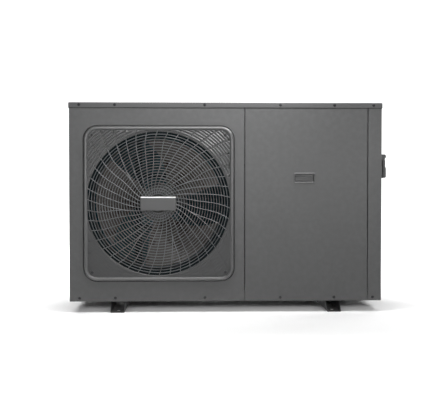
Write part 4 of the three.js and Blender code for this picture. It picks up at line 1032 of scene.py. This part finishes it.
def cable_gland():
    at = axis_of("cable_gland")
    out, inner = REAR + 0.4 * MM, REAR - 1.9 * MM
    body = threaded(5 * MM, 9.7 * MM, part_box("cable_gland")[0].y, out + 2 * MM, at, 1.5 * MM, 0.8 * MM, 40)
    locknut = in_mm(inner, (9.2, -7), (14.4, -7), (15, -6), (15, -1), (14.4, 0), (9.2, 0))
    flange = in_mm(out, (9, 0), (14.2, 0), (15, 0.8), (15, 7), (14.2, 8), (5, 8), (5, 2))
    cap = knurled(in_mm(out, (5.6, 24), (5.6, 8.4)),
                  fluted_mm(out, (12.6, 8.4, 0.3), (13, 9.2, 1), (13, 17, 1), (12, 18.4, 0.3), (9.4, 21.6, 0),
                            (7.4, 23.6, 0), (6.6, 24, 0)), at, 12, 1.1 * MM, 8)
    grip = in_mm(out, (5.0, 10), (5.7, 10), (5.7, 23.2), (5.0, 23.2))
    piece("cable_gland_body", join(body, lathe(locknut, at, 6), lathe(flange, at, 6), cap), "dark_plastic",
          replaces="cable_gland", sharp=40)
    piece("cable_gland_grip", lathe(grip, at, 32), "rubber")


def drain():
    d0, d1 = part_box("drain_nozzle")
    at = (mid(d0.x, d1.x), mid(d0.y, d1.y), 0)
    profile = in_mm(d0.z, (5, 0), (7.3, 0), (8.9, 5.4), (8.9, 6), (7.4, 6.4), (8.9, 11.4), (8.9, 12),
                    (7.4, 12.6))
    profile += in_mm(BOTTOM - 0.4 * MM, (8, -4), (15.4, -4), (16, -3.2), (16, 0), (8.2, 0))
    profile += in_mm(d1.z, (8, -0.6), (7.4, 0), (5, 0))
    piece("drain_nozzle_barbed", lathe(profile, at, 48, "z"), "dark_plastic", replaces="drain_nozzle", sharp=40)


# ---------------------------------------------------------------- screws
RECESS_HALF = 0.42 * MM  # half the width of a bar of the cross
BOTTOM_SCREWS = BOTTOM + 11 * MM


def screw_head(at, out, radius=4.7 * MM, height=2.1 * MM):
    """Pan head with a flange and a pressed cross recess; out is the outward direction."""
    rings, sides = 9, 32
    centre, out = Vector(at), Vector(out)
    u = out.orthogonal().normalized()
    v = out.cross(u)
    turn = RNG.uniform(0, pi / 2)
    c, s = cos(turn), sin(turn)
    loops = []
    for i in range(rings + 1):
        t = i / rings
        r = radius * t
        loop = []
        for k in range(sides):
            x, y = r * cos(FULL * k / sides), r * sin(FULL * k / sides)
            level = height * (sqrt(max(0.0, 1 - (t / 0.82) ** 2)) * 0.75 + 0.25 if t < 0.80 else 0.22)
            if r < 0.5 * radius and min(abs(x), abs(y)) < RECESS_HALF:
                level -= 1.15 * MM * (1 - r / (0.56 * radius))
            if i == rings:
                level = 0
            loop.append(tuple(centre + u * (x * c - y * s) + v * (x * s + y * c) + out * max(0.0, level)))
        loops.append(loop)
    return loft(loops)


def screws():
    middle, deep = mid(T0.x, T1.x), mid(T0.y, T1.y)
    front, rear, right, left = (0, -1, 0), (0, 1, 0), (1, 0, 0), (-1, 0, 0)
    fixed, door = [], []
    for x in (-466, -353, -68, 173, 346, 471):
        x = middle + x * MM
        fixed.append(screw_head((x, T0.y, SKIRT_SCREWS), front))
        bottom = screw_head((x, FRONT, BOTTOM_SCREWS), front)
        (door if S0.x < x < S1.x else fixed).append(bottom)
    for x in (-466, -300, -100, 100, 300, 466):
        fixed.append(screw_head((middle + x * MM, T1.y, SKIRT_SCREWS), rear))
    for y in (-150, 0, 150):
        fixed.append(screw_head((T1.x, deep + y * MM, SKIRT_SCREWS), right))
    for y in (-170, -60, 60, 170):
        fixed.append(screw_head((R1.x, deep + y * MM, BOTTOM_SCREWS), right))
    for z in (BOTTOM_SCREWS, 0.24, 0.46, 0.63):
        fixed.append(screw_head((B0.x + 10 * MM, REAR, z), rear))
        fixed.append(screw_head((B1.x - 8 * MM, REAR, z), rear))
        fixed.append(screw_head((P0.x, P0.y + 25 * MM, z), left, height=1.5 * MM))
    piece("cabinet_screws", join(*fixed), "screw", sharp=60)
    piece("service_panel_screws", join(*door), "screw", body="service_door", sharp=60)
    corners, bosses = [], []
    section = in_mm(0, (6.4, 5), (6.4, 9.4), (5.6, 10), (0.4, 10))
    for x in (RIM_X - 211 * MM, RIM_X + 211 * MM):
        for z in (RIM_Z - 218 * MM, RIM_Z + 218 * MM):
            bosses.append(lathe([(r, grille_y(h)) for r, h in section], (x, 0, z), 32, closed=False))
            corners.append(screw_head((x, grille_y(9.9 * MM), z), front, 4.0 * MM))
    # the bosses take the same darker copy, a painted shade, on the upper corners too
    piece("grille_screw_bosses", join(*bosses), "grille_matt_painted_shade")
    piece("grille_screws", join(*corners), "screw", sharp=60)


# ---------------------------------------------------------------- controller
def controller():
    """The hinged lid: a flap with a thicker grip along its lower edge, hung on a barrel."""
    l0, l1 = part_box("controller_lid")
    pin_x, _, pin_z = axis_of("lid_pin")
    inner, outer = l0.x, l1.x
    waist = outer - 2.7 * MM
    top, grip, low = pin_z - 12 * MM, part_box("controller_housing")[0].z + 36 * MM, l0.z
    section = [(inner, low + 1.5 * MM), (inner + 1.2 * MM, low)]
    section += [(outer - 5 * MM + 5 * MM * sin(a), low + 5 * MM - 5 * MM * cos(a))
                for a in np.linspace(0, pi / 2, 7)]
    section += [(outer, grip - 6 * MM), (outer - 0.5 * MM, grip - 3 * MM), (waist + 0.6 * MM, grip + 1 * MM),
                (waist, grip + 3 * MM), (waist, top - 1 * MM), (waist - 1 * MM, top), (inner + 0.6 * MM, top),
                (inner, top - 0.6 * MM)]
    front, rear = l0.y + 6.4 * MM, l1.y - 6.4 * MM  # the barrel lies between the housing's ears
    barrel = drum(6.9 * MM, front, rear, (pin_x, 0, pin_z))
    hanger = prism([(inner + 0.2 * MM, top - 2 * MM), (waist - 0.1 * MM, top - 2 * MM),
                    (pin_x + 5.4 * MM, pin_z - 3 * MM), (pin_x, pin_z)], front, rear, facing)
    ends = l0.y + 14 * MM, l1.y - 14 * MM
    grooves = [tube([(outer + 0.2 * MM, y, low + z * MM) for y in ends], 0.9 * MM, 8) for z in (9, 13, 17)]
    lid = piece("controller_lid_flap", prism(section, l0.y, l1.y, facing), "shell", body="lid",
                replaces="controller_lid", bevel=0.5 * MM)
    carve(lid, *grooves)
    piece("controller_lid_barrel", join(barrel, hanger), "shell", body="lid", bevel=0.4 * MM)


def carried_over():
    """Better surfaces for the CAD nodes that stay."""
    special = {  # material and bevel in millimetres
        "controller_face": ("fascia", 0.3), "display_window": ("lens", 0.4), "lid_pin": ("zinc", 0.2),
        "top_rail": ("cabinet", 0.2), "base_pan": ("cabinet", 0.3), "fan_shaft": ("zinc", 0.4),
        # the motor bracket takes the bell's near-black painted shade
        "partition": ("zinc", 0.2), "electric_box": ("zinc", 0.3), "motor_bracket": ("bell", 0.3),
        "controller_housing": ("shell", 0.8),
    }
    slots = {s["node"]: s["material_slot"] for s in frame["record"]["subparts"]}
    replaced = {n for o in bpy.data.objects for n in o.get("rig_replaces", [])}
    for name, node in frame["nodes"].items():
        if name in replaced:
            continue
        material, bevel = special.get(name, (MATERIAL_OF_SLOT[slots[name]], 0.4))
        if name.endswith("_pipe") or name in ("coil_header", "suction_elbow"):
            dress(node, material, subdivide=2)
        else:
            dress(node, material, bevel * MM)


# ---------------------------------------------------------------- stage
def stage():
    """White floor that curves up into a wall behind the unit."""
    half, start, radius, top = 9.0, 2.2, 0.9, 4.0
    line = [(-half, 0.0), (start, 0.0)]
    line += [(start + radius * sin(a), radius - radius * cos(a)) for a in np.linspace(0.1, 1.57, 12)]
    line.append((start + radius, top))
    count = len(line)
    mesh = bpy.data.meshes.new("floor")
    mesh.from_pydata([(x, y, z) for x in (-half, half) for y, z in line], [],
                     [(k, k + 1, count + k + 1, count + k) for k in range(count - 1)])
    for poly in mesh.polygons:
        poly.use_smooth = True
    paper = bpy.data.materials.new("pale_paper")
    inputs = Shader(paper).inputs
    inputs["Base Color"].default_value = (0.92, 0.92, 0.92, 1)
    inputs["Roughness"].default_value = 0.9
    inputs["Specular IOR Level"].default_value = 0.1
    mesh.materials.append(paper)
    add_object("floor", mesh)


def area_light(name, place, target, size, power, spread=180):
    light = bpy.data.lights.new(name, "AREA")
    light.shape = "RECTANGLE"
    light.size, light.size_y = size
    light.energy = power
    light.spread = radians(spread)
    obj = add_object(name, light)
    obj.location = place
    obj.rotation_euler = (Vector(target) - Vector(place)).to_track_quat("-Z", "Y").to_euler()
    obj.visible_camera = False


def lights():
    area_light("overhead", (0.12, -0.45, 1.05), (0.05, -0.24, 0.40), (1.4, 0.2), 8.9)
    area_light("graze", (0.30, -0.44, 1.00), (-0.09, -0.25, 0.55), (0.5, 0.12), 1.1, 80)
    area_light("low", (0.2, -1.6, 0.5), (0.05, -0.2, 0.0), (2.4, 0.3), 9.4)
    area_light("wash", (0, -1.9, 2.3), (0, -1.3, 0), (4.0, 1.2), 10, 120)
    area_light("under", (0, -0.20, 0.033), (0, -0.20, 0), (0.96, 0.16), 0.10)
    area_light("backdrop", (0, 1.1, 2.6), (0, 2.6, 0.6), (5.0, 1.2), 130)
    area_light("rear", (-0.6, 1.9, 1.9), (0, 0.2, 0.3), (2.2, 1.0), 48)
    far = ((-5.2, -1.5, 3, 12), (5.2, -1.5, 3, 12), (0, -6.8, 7, 3))  # the floor's far parts
    for k, (x, y, wide, deep) in enumerate(far):
        area_light(f"far_{k}", (x, y, 4.0), (x, y + 0.001, 0), (wide, deep), 20 * wide * deep / 1.8, 80)
    world = bpy.context.scene.world = bpy.data.worlds.new("studio")
    sky = Shader(world, "Background")
    seen = sky.node("LightPath").outputs["Is Camera Ray"]
    sky.link(sky.ramp(seen, 0, 1, 0.01, 1.0), sky.inputs["Strength"])
    sky.inputs["Color"].default_value = (1, 1, 1, 1)


def camera():
    """Long lens, almost square to the front, a little left of the middle and above half height."""
    cam = bpy.data.cameras.new("camera")
    cam.lens = 71.3
    cam.sensor_width = 36.0
    obj = bpy.context.scene.camera = add_object("camera", cam)
    obj.location = (mid(T0.x, T1.x) - 0.107, FRONT - 2.78, 0.439)
    obj.rotation_euler = (radians(90 - 1.65), 0, radians(-1.83))


bpy.context.scene.view_settings.view_transform = "Standard"

grille_frame()
# rings and spokes take the lighter copy of the moulding: painted highlight
piece("grille_rings", grille_rings(), "bars", sharp=50)
piece("grille_spokes", grille_spokes(), "bars", sharp=50)
badge()
fan()
bell()
fan_panel()
service_panel()
service_handle()
right_panel()
rear_panel()
corner_post()
top_cover()
cover_shadow_strip()
foot_rails()
wire_guards()
coil()
water_unions()
cable_gland()
drain()
screws()
controller()
carried_over()
stage()
lights()
camera()
